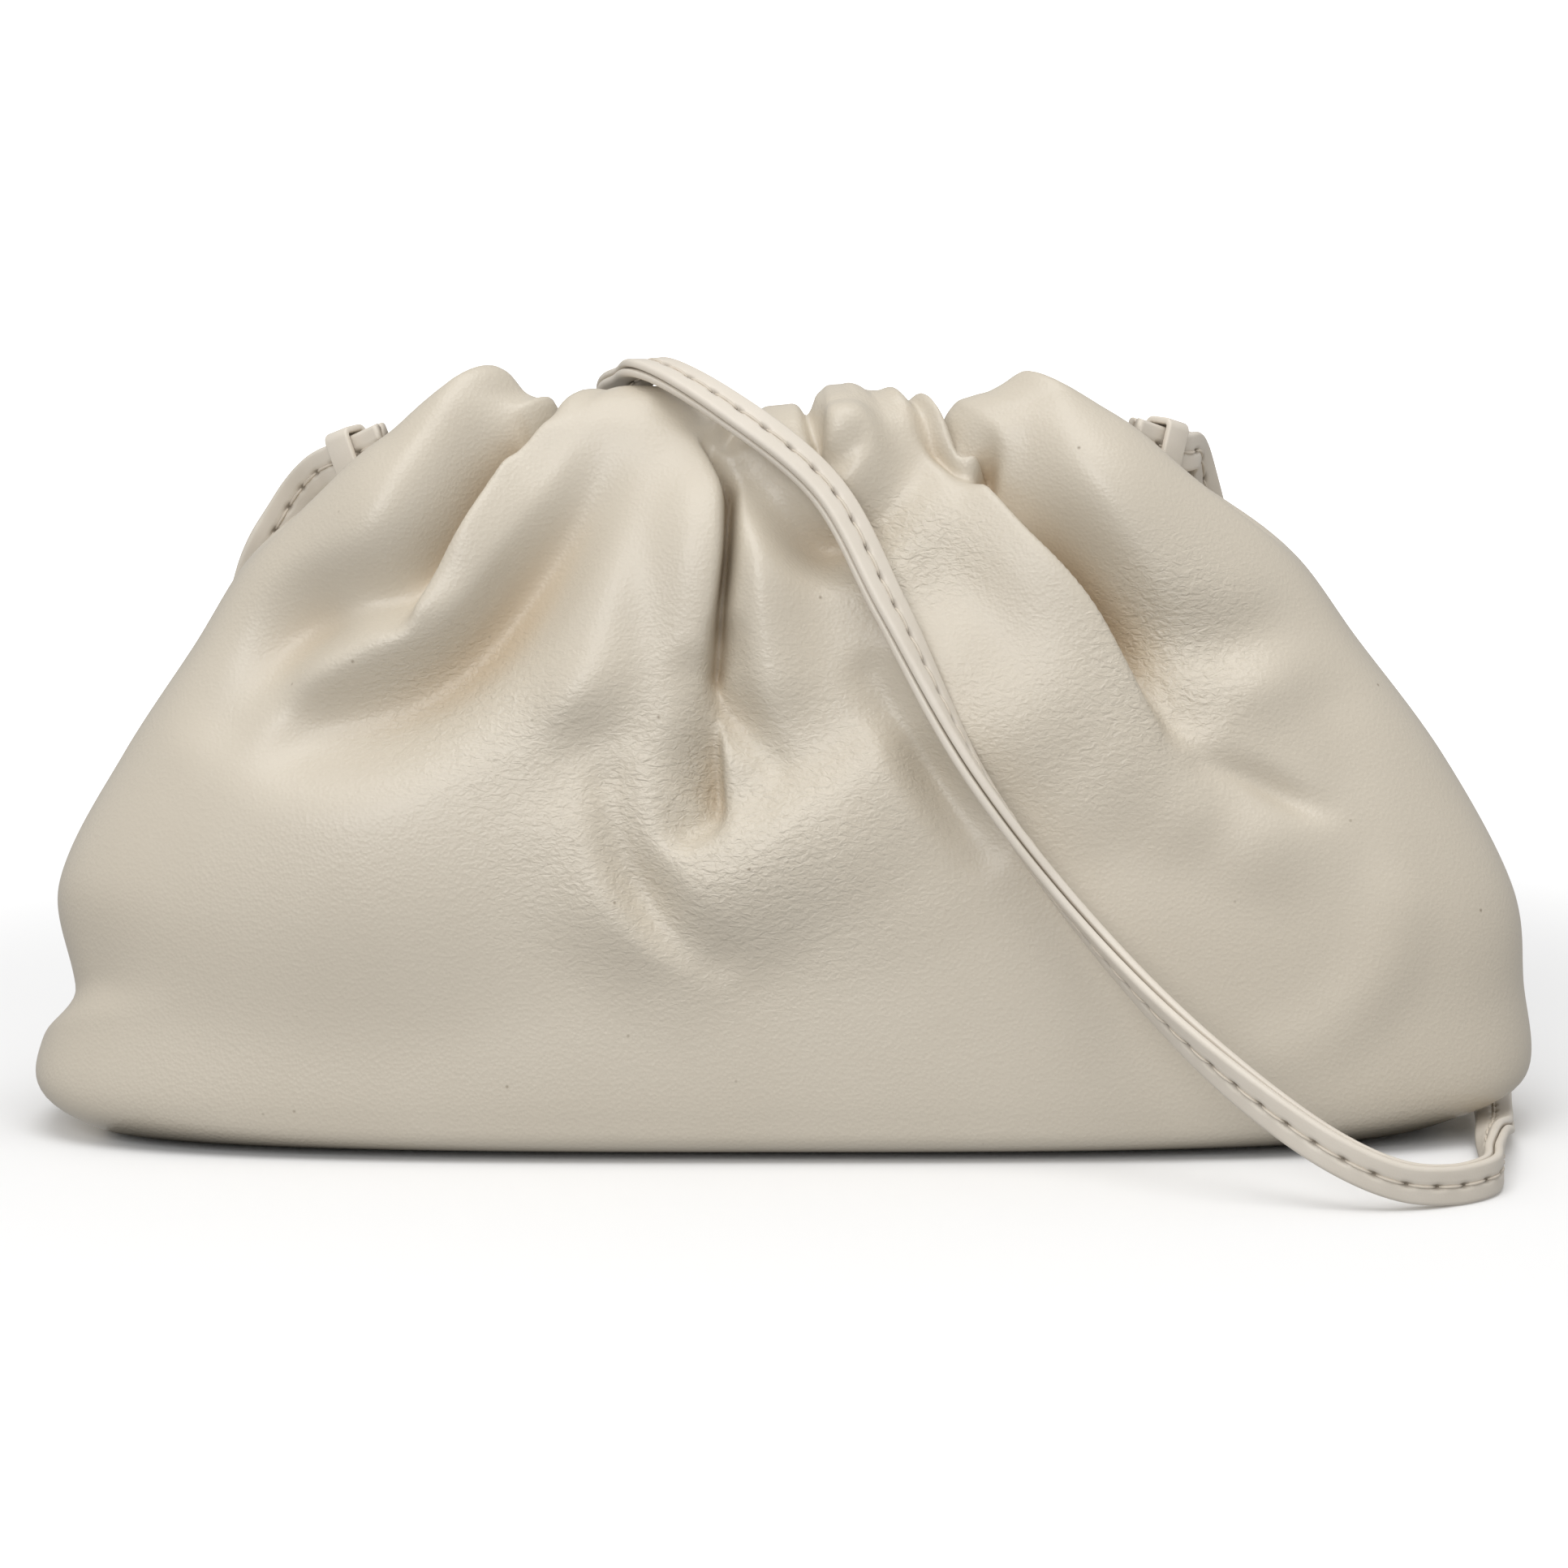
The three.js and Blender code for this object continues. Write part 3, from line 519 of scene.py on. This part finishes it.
# Folds, each along a path of (across, z) points on one face of the bag: heights at the start, middle
# and end of the path, negative for a valley, half-widths on the two sides of the path as it is walked,
# the share of them at its start, how far a round crest (0) turns into a crease (1), and how far the
# pleat on the left side (or the right one, if negative) leans over its crease
FACE, SHARP = 0, 7
FOLDS = [
    # Gathers on the front, from left to right
    ("front", 0.5, 5.5, 1.5, 14, 14, 0.7, 0, 0, [(-44, 109), (-51, 97), (-60, 88), (-69, 80)]),
    ("front", -7, -12, -5, 2, 12, 0.7, 0.7, 3.5,
     [(-35.7, 107), (-38.3, 103), (-42.9, 95), (-49, 86.5), (-53.5, 80)]),
    ("front", -2, -7, -1.5, 7, 9, 1, 0, 0,
     [(-50, 84), (-58, 80.5), (-66, 78), (-72, 75), (-76.5, 69), (-81, 64)]),
    ("front", -1, 4.5, 1, 6, 5, 0.9, 0, 0,
     [(-32.4, 108), (-37, 98), (-42, 90), (-47.6, 81.5), (-54.6, 77), (-61.6, 74), (-68.6, 68.4),
      (-73.3, 62.7)]),
    ("front", 0, -8, -3.5, 8, 7, 0.9, 0, 0,
     [(-22.5, 106), (-26, 100), (-30.7, 91), (-38.3, 80.4), (-45.3, 72.5), (-53.5, 66.8), (-61.6, 64),
      (-69.5, 63)]),
    ("front", -1, 5, 2.5, 4, 10, 0.8, 0, 0,
     [(-13.7, 107), (-11.6, 99), (-11.5, 91), (-12, 83), (-13, 74), (-13.5, 65)]),
    ("front", 0, 3, 3, 10, 9, 1, 0, 0, [(-19.6, 100), (-25, 80), (-29, 67)]),
    ("front", -5, -15, -5, 1.7, 1.7, 1, 0.5, -2,
     [(-11.2, 106), (-9.2, 101), (-8.5, 97), (-8.7, 90), (-9.2, 84.4), (-9.7, 78.7), (-9.9, 74), (-10, 70)]),
    ("front", -3, -5, -1.5, 5, 3, 1, 0.2, 0, [(-9.8, 76), (-9.2, 70), (-7.3, 65), (-5, 61.5), (-2, 58)]),
    ("front", 0, 4.5, 2.5, 10, 3, 0.8, 0, 0, [(-5.6, 101), (-5, 91), (-4.6, 80), (-3, 70)]),
    ("front", -3, -7, -2.5, 7, 5, 1, 0, 0,
     [(-5.6, 101), (-2, 94), (3, 89), (8, 88.5), (13, 91.5), (17.8, 98.5)]),
    ("front", -1, 5, 2, 8, 4.5, 0.9, 0, 0, [(9.6, 109), (8.5, 104.6), (10, 99)]),
    ("front", -3, -6, -3.5, 2, 2, 1, 0.6, 1.5, [(4.4, 108), (5.2, 105.5), (4.8, 102.5)]),
    ("front", -1.5, -2.4, -1.5, 2.2, 2.2, 1, 0.4, 0, [(4.4, 101.7), (7.3, 100), (10.8, 102)]),
    ("front", -4, 5, 2, 4, 13, 0.7, 0, 0,
     [(20, 108), (25.4, 100), (34, 89.5), (42, 78), (50, 66), (58, 53)]),
    ("front", -6, -14, -3, 11, 2, 1, 0.8, -3.5,
     [(29, 98), (34, 91), (39, 84.8), (44.7, 77.6), (50.5, 69.5), (54.5, 63.5)]),
    ("front", -5, -10, -6, 2.3, 2.3, 1, 0.5, 1, [(26.2, 107.4), (28.7, 105.8), (29.9, 103.2), (29.6, 99)]),
    ("front", -1.5, -2.5, -1, 1.8, 3, 1, 0.4, 0, [(20.9, 107.6), (21.6, 105.3), (23.6, 103), (25.7, 101.4)]),
    ("front", 0, 4.5, 1.5, 13, 8, 0.8, 0, 0, [(37, 110), (42, 101), (51, 91), (62, 80)]),
    # Wrinkles where the right gather ends
    ("front", -1.5, -2.4, -0.8, 8, 6, 1, 0, 0, [(50, 75.5), (57, 74.5), (67, 74.5), (77, 75.5)]),
    ("front", 0.6, 1.8, 0.6, 5, 8, 1, 0, 0, [(62.8, 66), (68, 69), (75, 72)]),
    ("front", -0.8, -1.4, -0.5, 7, 7, 1, 0, 0, [(78.5, 69.5), (82, 63)]),
    ("front", -0.8, -2.2, -0.6, 4, 2.5, 1, 0.5, 0, [(59.8, 57.6), (66.8, 55.3), (73.9, 51.4), (78, 50)]),
    ("front", 0.8, 2.2, 0.8, 4, 12, 1, 0, 0, [(63.3, 51.2), (69.2, 47.8), (76.2, 47.2)]),
    ("front", 0.5, 1.2, 0.5, 7, 7, 1, 0, 0, [(85.5, 50), (88, 39.7), (86.7, 28), (79.7, 19.6), (71.5, 16)]),
    ("front", -0.3, -0.8, -0.3, 4, 4, 1, 0, 0, [(79.7, 55.8), (85.5, 44.4), (91.4, 39.7)]),
    # The swag under the middle gathers
    ("front", 1.5, 5.2, 3, 6, 18, 1, 0, 0,
     [(-23.1, 56.4), (-21.3, 51.2), (-17.8, 46), (-14.3, 43.2), (-11.4, 42.6), (-7.9, 44.3), (-2.1, 48.3),
      (3.8, 52), (9.6, 55.8), (15.5, 60.4)]),
    ("front", -2, -4.4, -1.2, 7, 4.5, 1, 0.2, 0,
     [(-25.2, 54), (-23.5, 45.5), (-20.8, 39.7), (-16.7, 34.4), (-10.8, 30.3)]),
    ("front", 0.6, 2.2, 0.8, 8, 11, 1, 0, 0, [(-32.4, 46.6), (-27.8, 39.7), (-20.8, 32.6), (-15, 27.9)]),
    ("front", -1, -3.5, -0.6, 8, 8, 1, 0, 0, [(-31, 55.5), (-27, 61), (-21, 64.5)]),
    ("front", -3, -7, -3, 2, 9, 1, 0.5, 2,
     [(-10.3, 69.5), (-9.7, 62.7), (-9.1, 55.8), (-8.8, 51.2), (-10.2, 48.9), (-12.6, 47.8)]),
    ("front", -1.5, -5, -1, 5, 6, 1, 0.3, 0, [(13, 70), (18, 62), (23, 54), (28, 46)]),
    ("front", 1, 1.5, 1, 16, 16, 1, 0, 0, [(4, 40), (16, 43)]),
    ("front", 3, 4.5, 2.5, 15, 15, 1, 0, 0, [(26, 70), (34, 64), (42, 57)]),
    # The swag under the left gathers
    ("front", 1.5, 4.5, 2, 9, 36, 1, 0, 0,
     [(-89, 58), (-81.5, 53.5), (-72, 50), (-61.6, 50), (-51, 53), (-41.8, 57.6), (-33.6, 63.8)]),
    # Gathers and one long swag on the back
    ("back", 3, 2, 0, 9, 9, 0.7, 0, 0, [(-44, 111), (-54, 92), (-66, 74)]),
    ("back", -3, -5, -1, 6, 6, 0.6, 0.4, 0, [(-37, 107), (-47, 86), (-62, 70)]),
    ("back", -3, -2, -1, 7, 7, 0.8, 0.2, 0, [(-27, 107), (-28, 88), (-28, 68)]),
    ("back", 2, 3, 1.5, 8, 8, 0.7, 0, 0, [(-15, 108), (-16, 88), (-18, 66)]),
    ("back", 2, 2, 1.5, 8, 8, 0.7, 0, 0, [(-6, 108), (-7, 90), (-9, 66)]),
    ("back", -3, -6, -2, 5, 5, 0.6, 0.6, 0, [(2, 108), (3, 88), (6, 70), (4, 55)]),
    ("back", 3, 3, 1.5, 8, 8, 0.7, 0, 0, [(11, 111), (16, 90), (22, 66)]),
    ("back", -3, -5, -1, 6, 6, 0.6, 0.4, 0, [(21, 108), (28, 88), (40, 70)]),
    ("back", 3, 3, 1, 8, 8, 0.7, 0, 0, [(30, 111), (39, 92), (52, 70)]),
    ("back", -3, -4.5, -1, 6, 6, 0.6, 0.4, 0, [(38, 107), (49, 88), (64, 72)]),
    ("back", 3, 2, 0, 9, 9, 0.7, 0, 0, [(44, 111), (54, 92), (66, 74)]),
    ("back", 1, 2.5, 1, 10, 10, 1, 0, 0, [(-60, 60), (-25, 50), (20, 48), (62, 60)]),
    # The crease over the bulge at the foot of the left end
    ("left", -2, -3.5, -2, 16, 5, 1, 0.4, 0, [(-16, 24), (0, 18.5), (16, 14)]),
]


def smooth(start, end, value):
    share = np.clip((value - start) / (end - start), 0, 1)
    return share ** 2 * (3 - 2 * share)


def mix(a, b, share):
    return a + (b - a) * share


def plan(angles, square):
    """The unit superellipse in each direction of the plan, one row for each section."""
    c, s = np.cos(angles), np.sin(angles)
    reach = (np.abs(c) ** square + np.abs(s) ** square) ** (-1 / square)
    return c * reach, s * reach


def section_points(sections, angles, wall):
    """Points of level sections, drawn in by a wall and raised off the floor for the inside."""
    column = np.split(sections, sections.shape[1], axis=1)
    out, deep = plan(angles, column[SQUARE])
    x = out * (np.where(out < 0, column[REACH_LEFT], column[REACH_RIGHT]) - wall)
    y = deep * (np.where(deep < 0, column[REACH_FRONT], column[REACH_BACK]) - wall)
    ends = np.where(out < 0, column[Z_LEFT], column[Z_RIGHT])
    level = mix(column[Z_MIDDLE], ends, np.abs(out) ** END_DROP_POWER)
    z = level - BACK_LIP_DROP * smooth(BACK_LIP_DROPS_FROM, BACK_LIP_DROPS_TO, level) * np.maximum(0, deep)
    raised = np.where(wall > 0, WALL * np.maximum(0, 1 - z / FLOOR_BLENDS_BY), 0)
    return np.stack([x, y, z + raised], axis=-1), out, deep


def column_angles():
    """Directions that divide the front and the back of the widest section into equal steps."""
    section = SECTIONS[WIDEST_SECTION:WIDEST_SECTION + 1]
    angles = []
    for start, count in ((math.pi, FRONT_COLUMNS), (0, BACK_COLUMNS)):
        fine = np.linspace(start, start + math.pi, ARC_SAMPLES)
        points = section_points(section, fine, 0)[0][0]
        lengths = np.concatenate([[0], np.cumsum(np.linalg.norm(np.diff(points, axis=0), axis=1))])
        angles.append(np.interp(np.arange(count) / count * lengths[-1], lengths, fine))
    return np.concatenate(angles)


def fold_shape(fold, across, z):
    """Height of one fold at places on its face, and how far it draws them across and up its face."""
    _, start, middle, end, left, right, lip, sharp, lean, path = fold
    path = np.array(path, float)
    line = through(path, np.linspace(0, len(path) - 1, FOLD_SAMPLES + 1))
    widest = max(left, right, LEAN_WIDTH)
    near = ((across > line[:, 0].min() - widest) & (across < line[:, 0].max() + widest)
            & (z > line[:, 1].min() - widest) & (z < line[:, 1].max() + widest))
    shape = np.zeros(across.shape + (3,))
    here = np.stack([across[near], z[near]], axis=-1)
    best = np.full(len(here), np.inf)
    side = np.zeros(len(here))
    along = np.zeros(len(here))
    back = np.zeros_like(here)
    for k in range(FOLD_SAMPLES):
        step = line[k + 1] - line[k]
        away = here - line[k]
        share = np.clip(away @ step / (step @ step), 0, 1)
        off = away - share[:, None] * step
        distance = np.maximum(np.linalg.norm(off, axis=1), NO_DISTANCE)
        nearer = distance < best
        turn = (step[0] * off[:, 1] - step[1] * off[:, 0]) / (np.linalg.norm(step) * distance)
        best = np.where(nearer, distance, best)
        side = np.where(nearer, turn, side)
        along = np.where(nearer, (k + share) / FOLD_SAMPLES, along)
        back = np.where(nearer[:, None], -off / distance[:, None], back)
    first_half, second_half = smooth(0, 0.5, along), smooth(0.5, 1, along)
    width = mix(lip, 1, first_half) * mix(right, left, (1 + side) / 2)
    q = np.minimum(1, best / width)
    size = np.where(along < 0.5, mix(start, middle, first_half), mix(middle, end, second_half))
    shape[near, 0] = size * mix((1 - q ** 2) ** 2, (1 - q) ** 2, sharp)
    t = np.minimum(1, best / LEAN_WIDTH)
    drawn = abs(lean) * np.maximum(0, side * np.sign(lean)) * size / middle * (4 * t * (1 - t)) ** 2
    shape[near, 1:] = drawn[:, None] * back
    return shape


def soften(values, passes):
    """Values on rings of points, evened out with their neighbours round and up the shell."""
    for _ in range(passes):
        values = (2 * values + np.roll(values, 1, axis=1) + np.roll(values, -1, axis=1)) / 4
        rings = np.concatenate([values[:1], values, values[-1:]])
        values = (2 * values + rings[:-2] + rings[2:]) / 4
    return values


def folds_at(points, out, deep):
    """All folds together at points of the plain shell: heights, and draws along the face."""
    faces = {
        "front": (smooth(FACE_EDGE, FACE_FULL, -deep), points[..., 0]),
        "back": (smooth(FACE_EDGE, FACE_FULL, deep), points[..., 0]),
        "left": (smooth(FACE_FULL, 1, -out), points[..., 1]),
    }
    shape = np.zeros(points.shape)
    for creased, softenings in ((False, ROUND_SOFTENINGS), (True, CREASE_SOFTENINGS)):
        for fold in FOLDS:
            if (fold[SHARP] > 0) == creased:
                weight, across = faces[fold[FACE]]
                shape += weight[..., None] * fold_shape(fold, across, points[..., 2])
        shape = soften(shape, softenings)
    return shape * smooth(FOLD_STARTS_AT, FOLD_FULL_AT, points[..., 2])[..., None]


def shell(places, angles):
    """Outer and inner points of the shell on rings at places counted in sections."""
    sections = through(SECTIONS, places)
    share = (places / (len(SECTIONS) - 1))[:, None]
    points, out, deep = section_points(sections, angles, 0)
    beside = section_points(sections, angles + ANGLE_STEP, 0)[0] - points
    step = np.where(places < len(SECTIONS) - 1 - PLACE_STEP, PLACE_STEP, -PLACE_STEP)
    above = section_points(through(SECTIONS, places + step), angles, 0)[0] - points
    outward = unit(np.cross(beside, above * np.sign(step)[:, None, None]))
    outward = unit(mix(outward, np.array(UP), LIP_LIFT * smooth(LIP_THICKENS_FROM, 1, share)[..., None]))
    shape = folds_at(points, out, deep)
    rim = np.interp(points[..., 0], RIM[:, 0], RIM[:, 1]) * smooth(RIM_FROM, 1, share)
    rim = soften(rim * mix(1, RIM_AT_BACK, (1 + deep) / 2), CREASE_SOFTENINGS)
    moved = outward * shape[..., :1] + rim[..., None] * np.array(UP)
    drawn = shape[..., 1:2] * np.array(RIGHT) + shape[..., 2:] * np.array(UP)
    wall = mix(WALL, LIP, smooth(LIP_THICKENS_FROM, 1, share))
    return points + moved + drawn, section_points(sections, angles, wall)[0] + moved, shape[..., 0]


def even_places(count):
    """Places between the first and the last section, evenly spaced along the bag's middle."""
    fine = np.linspace(0, len(SECTIONS) - 1, ARC_SAMPLES)
    profile = through(SECTIONS, fine)[:, [Z_MIDDLE, REACH_FRONT]]
    lengths = np.concatenate([[0], np.cumsum(np.linalg.norm(np.diff(profile, axis=0), axis=1))])
    return np.interp(np.linspace(0, lengths[-1], count), lengths, fine)


angles = column_angles()
outside, inside, heights = shell(even_places(OUTSIDE_RINGS), angles)
rise, fall = (LIP * ROLL_FULLNESS * unit(side[-1] - side[-1 - LIP_RUN_RINGS]) for side in (outside, inside))
inside = inside[::INSIDE_RING_STEP]
roll = [hermite(outside[-1], inside[-1], rise, -fall, ring / (LIP_ROLL_RINGS + 1))
        for ring in range(1, LIP_ROLL_RINGS + 1)]
shrink = np.linspace(SOLE_MIDDLE, 1, SOLE_RINGS, endpoint=False)[:, None, None] * np.array([1, 1, 0])
sole = outside[0] * shrink
inner_sole = inside[0] * shrink + np.array(UP) * inside[0][:, 2:].mean()
rings = np.concatenate([sole, outside, roll, inside[::-1], inner_sole[::-1]])
body = add_piece("pouch_body_leather", rings * MM, ring_faces(*rings.shape[:2]))

# Where the front's leather is drawn into fine wrinkles, in millimetres: place, reach and strength
WRINKLES = [
    (-11, 48, 30, 24, 0.7),
    (42, 62, 28, 14, 0.35),
    (56, 76, 12, 14, 0.8),
    (18, 88, 12, 8, 0.8),
    (-48, 66, 16, 12, 0.6),
    (0, 60, 100, 50, 0.15),
]
WRINKLES_FADE_BY = 1.5
# Painted shade in the shell's creases, darker and warmer where a fold sinks deeper: the fold depths in
# millimetres where it starts and where it is full
CREASE_SHADE_FROM = 1.5
CREASE_SHADE_FULL = 9
crease_shade = np.zeros(rings.shape[:2])
crease_shade[len(sole):len(sole) + len(outside)] = smooth(CREASE_SHADE_FROM, CREASE_SHADE_FULL, -heights)
add_attribute(body, "crease", crease_shade)
wrinkled = sum(
    strength * bump_at(np.hypot((rings[..., 0] - x) / along, (rings[..., 2] - z) / up), WRINKLES_FADE_BY)
    for x, z, along, up, strength in WRINKLES)
add_attribute(body, "wrinkled", np.minimum(1, wrinkled) * (rings[..., 1] < 0))

# Smooth bone calf leather: a fine even grain that shows as a satin sheen, tightening into small
# wrinkles where the leather is drawn together, with a few dark pores, and with painted shade that
# makes it darker and warmer in its creases
LEATHER_GRAIN = 0.55 * MM
LEATHER_MOTTLE = 25 * MM
WRINKLE_LENGTH = 1.4 * MM
WRINKLE_WIDTH = 0.75 * MM
WRINKLE_SLOPE = math.radians(25)
PORE_SPACING = 8 * MM
PORE_RADIUS = 0.35 * MM
leather, tree, shader = new_material("smooth_bone_leather")
place = add_node(tree, "ShaderNodeTexCoord").outputs["Object"]
grain = add_node(tree, "ShaderNodeTexVoronoi", {"Vector": place, "Scale": 1 / LEATHER_GRAIN})
bumps = add_node(tree, "ShaderNodeBump", {
    "Height": grain.outputs["Distance"], "Strength": 0.45, "Distance": 0.1 * MM})
drawn = add_node(tree, "ShaderNodeMapping", {
    "Vector": place, "Rotation": (0, WRINKLE_SLOPE, 0),
    "Scale": (1 / WRINKLE_LENGTH, 1 / WRINKLE_LENGTH, 1 / WRINKLE_WIDTH)})
wrinkles = add_node(tree, "ShaderNodeTexNoise", {
    "Vector": drawn.outputs["Vector"], "Scale": 1.0, "Detail": 3.0, "Distortion": 0.8})
wrinkled = add_node(tree, "ShaderNodeAttribute", attribute_name="wrinkled")
bumps = add_node(tree, "ShaderNodeBump", {
    "Height": wrinkles.outputs["Fac"], "Strength": wrinkled.outputs["Fac"], "Distance": 0.5 * MM,
    "Normal": bumps.outputs["Normal"]})
mottle = add_node(tree, "ShaderNodeTexNoise", {"Vector": place, "Scale": 1 / LEATHER_MOTTLE, "Detail": 3.0})
tint = add_node(tree, "ShaderNodeMix", {
    "Factor": mottle.outputs["Fac"], "A": linear("#c4baa9"), "B": linear("#cdc4b4")}, data_type="RGBA")
# Painted shade: a darker, warmer colour mixed in by the depth of each crease
crease = add_node(tree, "ShaderNodeAttribute", attribute_name="crease")
tint = add_node(tree, "ShaderNodeMix", {
    "Factor": crease.outputs["Fac"], "A": tint.outputs["Result"], "B": linear("#c2b096")}, data_type="RGBA")
pores = add_node(tree, "ShaderNodeTexVoronoi", {"Vector": place, "Scale": 1 / PORE_SPACING})
pore = add_node(tree, "ShaderNodeMapRange", {
    "Value": pores.outputs["Distance"], "From Min": 0.0, "From Max": PORE_RADIUS / PORE_SPACING,
    "To Min": 1.0, "To Max": 0.0})
tint = add_node(tree, "ShaderNodeMix", {
    "Factor": pore.outputs["Result"], "A": tint.outputs["Result"], "B": linear("#857763")}, data_type="RGBA")
tree.links.new(tint.outputs["Result"], shader.inputs["Base Color"])
tree.links.new(bumps.outputs["Normal"], shader.inputs["Normal"])
shader.inputs["Roughness"].default_value = 0.42
shader.inputs["Specular IOR Level"].default_value = 0.7
body.data.materials.append(leather)

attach(body, "root")
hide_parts("pouch_body")

# Floor and light
# A plain white studio floor, lit by a broad soft light overhead and another from the front left. The
# bag's surfaces don't see the floor: an even sky gives the light that white paper throws back.
FLOOR_SIZE = 6
GLOW_FROM = 0.15
GLOW_FULL = 0.5
SKY_ABOVE = 0.6
SKY_BELOW = 0.44
bpy.ops.mesh.primitive_plane_add(size=FLOOR_SIZE)
floor = bpy.context.object
floor.name = "studio_floor"
white, tree, shader = new_material("white_studio_paper")
place = add_node(tree, "ShaderNodeTexCoord").outputs["Object"]
away = add_node(tree, "ShaderNodeVectorMath", {0: place}, operation="LENGTH")
glow = add_node(tree, "ShaderNodeMapRange", {
    "Value": away.outputs["Value"], "From Min": GLOW_FROM, "From Max": GLOW_FULL},
    interpolation_type="SMOOTHSTEP")
tree.links.new(glow.outputs["Result"], shader.inputs["Emission Strength"])
shader.inputs["Emission Color"].default_value = linear("#ffffff")
shader.inputs["Base Color"].default_value = linear("#f6f6f6")
shader.inputs["Roughness"].default_value = 0.9
floor.data.materials.append(white)
floor.visible_diffuse = False
floor.visible_glossy = False

# A black card just under the paper, which keeps the light from below off the bag's base
CARD_LENGTH = 0.2
CARD_DEPTH = 0.056
CARD_BELOW = 0.0005
bpy.ops.mesh.primitive_plane_add(size=1, location=(0, 0, -CARD_BELOW))
card = bpy.context.object
card.name = "black_card"
card.scale = (CARD_LENGTH, CARD_DEPTH, 1)
bpy.ops.object.transform_apply(location=True, rotation=True, scale=True)
black, tree, shader = new_material("black_card")
shader.inputs["Base Color"].default_value = linear("#101010")
shader.inputs["Roughness"].default_value = 0.9
card.data.materials.append(black)

world = bpy.data.worlds.new("studio")
bpy.context.scene.world = world
world.use_nodes = True
tree = world.node_tree
direction = add_node(tree, "ShaderNodeTexCoord").outputs["Generated"]
height = add_node(tree, "ShaderNodeSeparateXYZ", {"Vector": direction}).outputs["Z"]
level = add_node(tree, "ShaderNodeMapRange", {
    "Value": height, "From Min": -1.0, "From Max": 1.0, "To Min": SKY_BELOW, "To Max": SKY_ABOVE})
tree.links.new(level.outputs["Result"], tree.nodes["Background"].inputs["Strength"])
tree.nodes["Background"].inputs["Color"].default_value = linear("#ffffff")
bpy.context.scene.view_settings.view_transform = "Standard"

# Each light: name, place, where it points, size and power
LIGHTS = [
    ("overhead", (0, -0.4, 1.1), (0, 0, 0.05), 0.9, 6.4),
    ("front", (-0.4, -1.45, 0.7), (0, 0, 0.05), 0.7, 8.6),
]
for name, spot, target, size, power in LIGHTS:
    bpy.ops.object.light_add(type="AREA", location=spot)
    light = bpy.context.object
    light.name = name
    light.data.size = size
    light.data.energy = power
    light.rotation_euler = (Vector(target) - Vector(spot)).to_track_quat("-Z", "Y").to_euler()
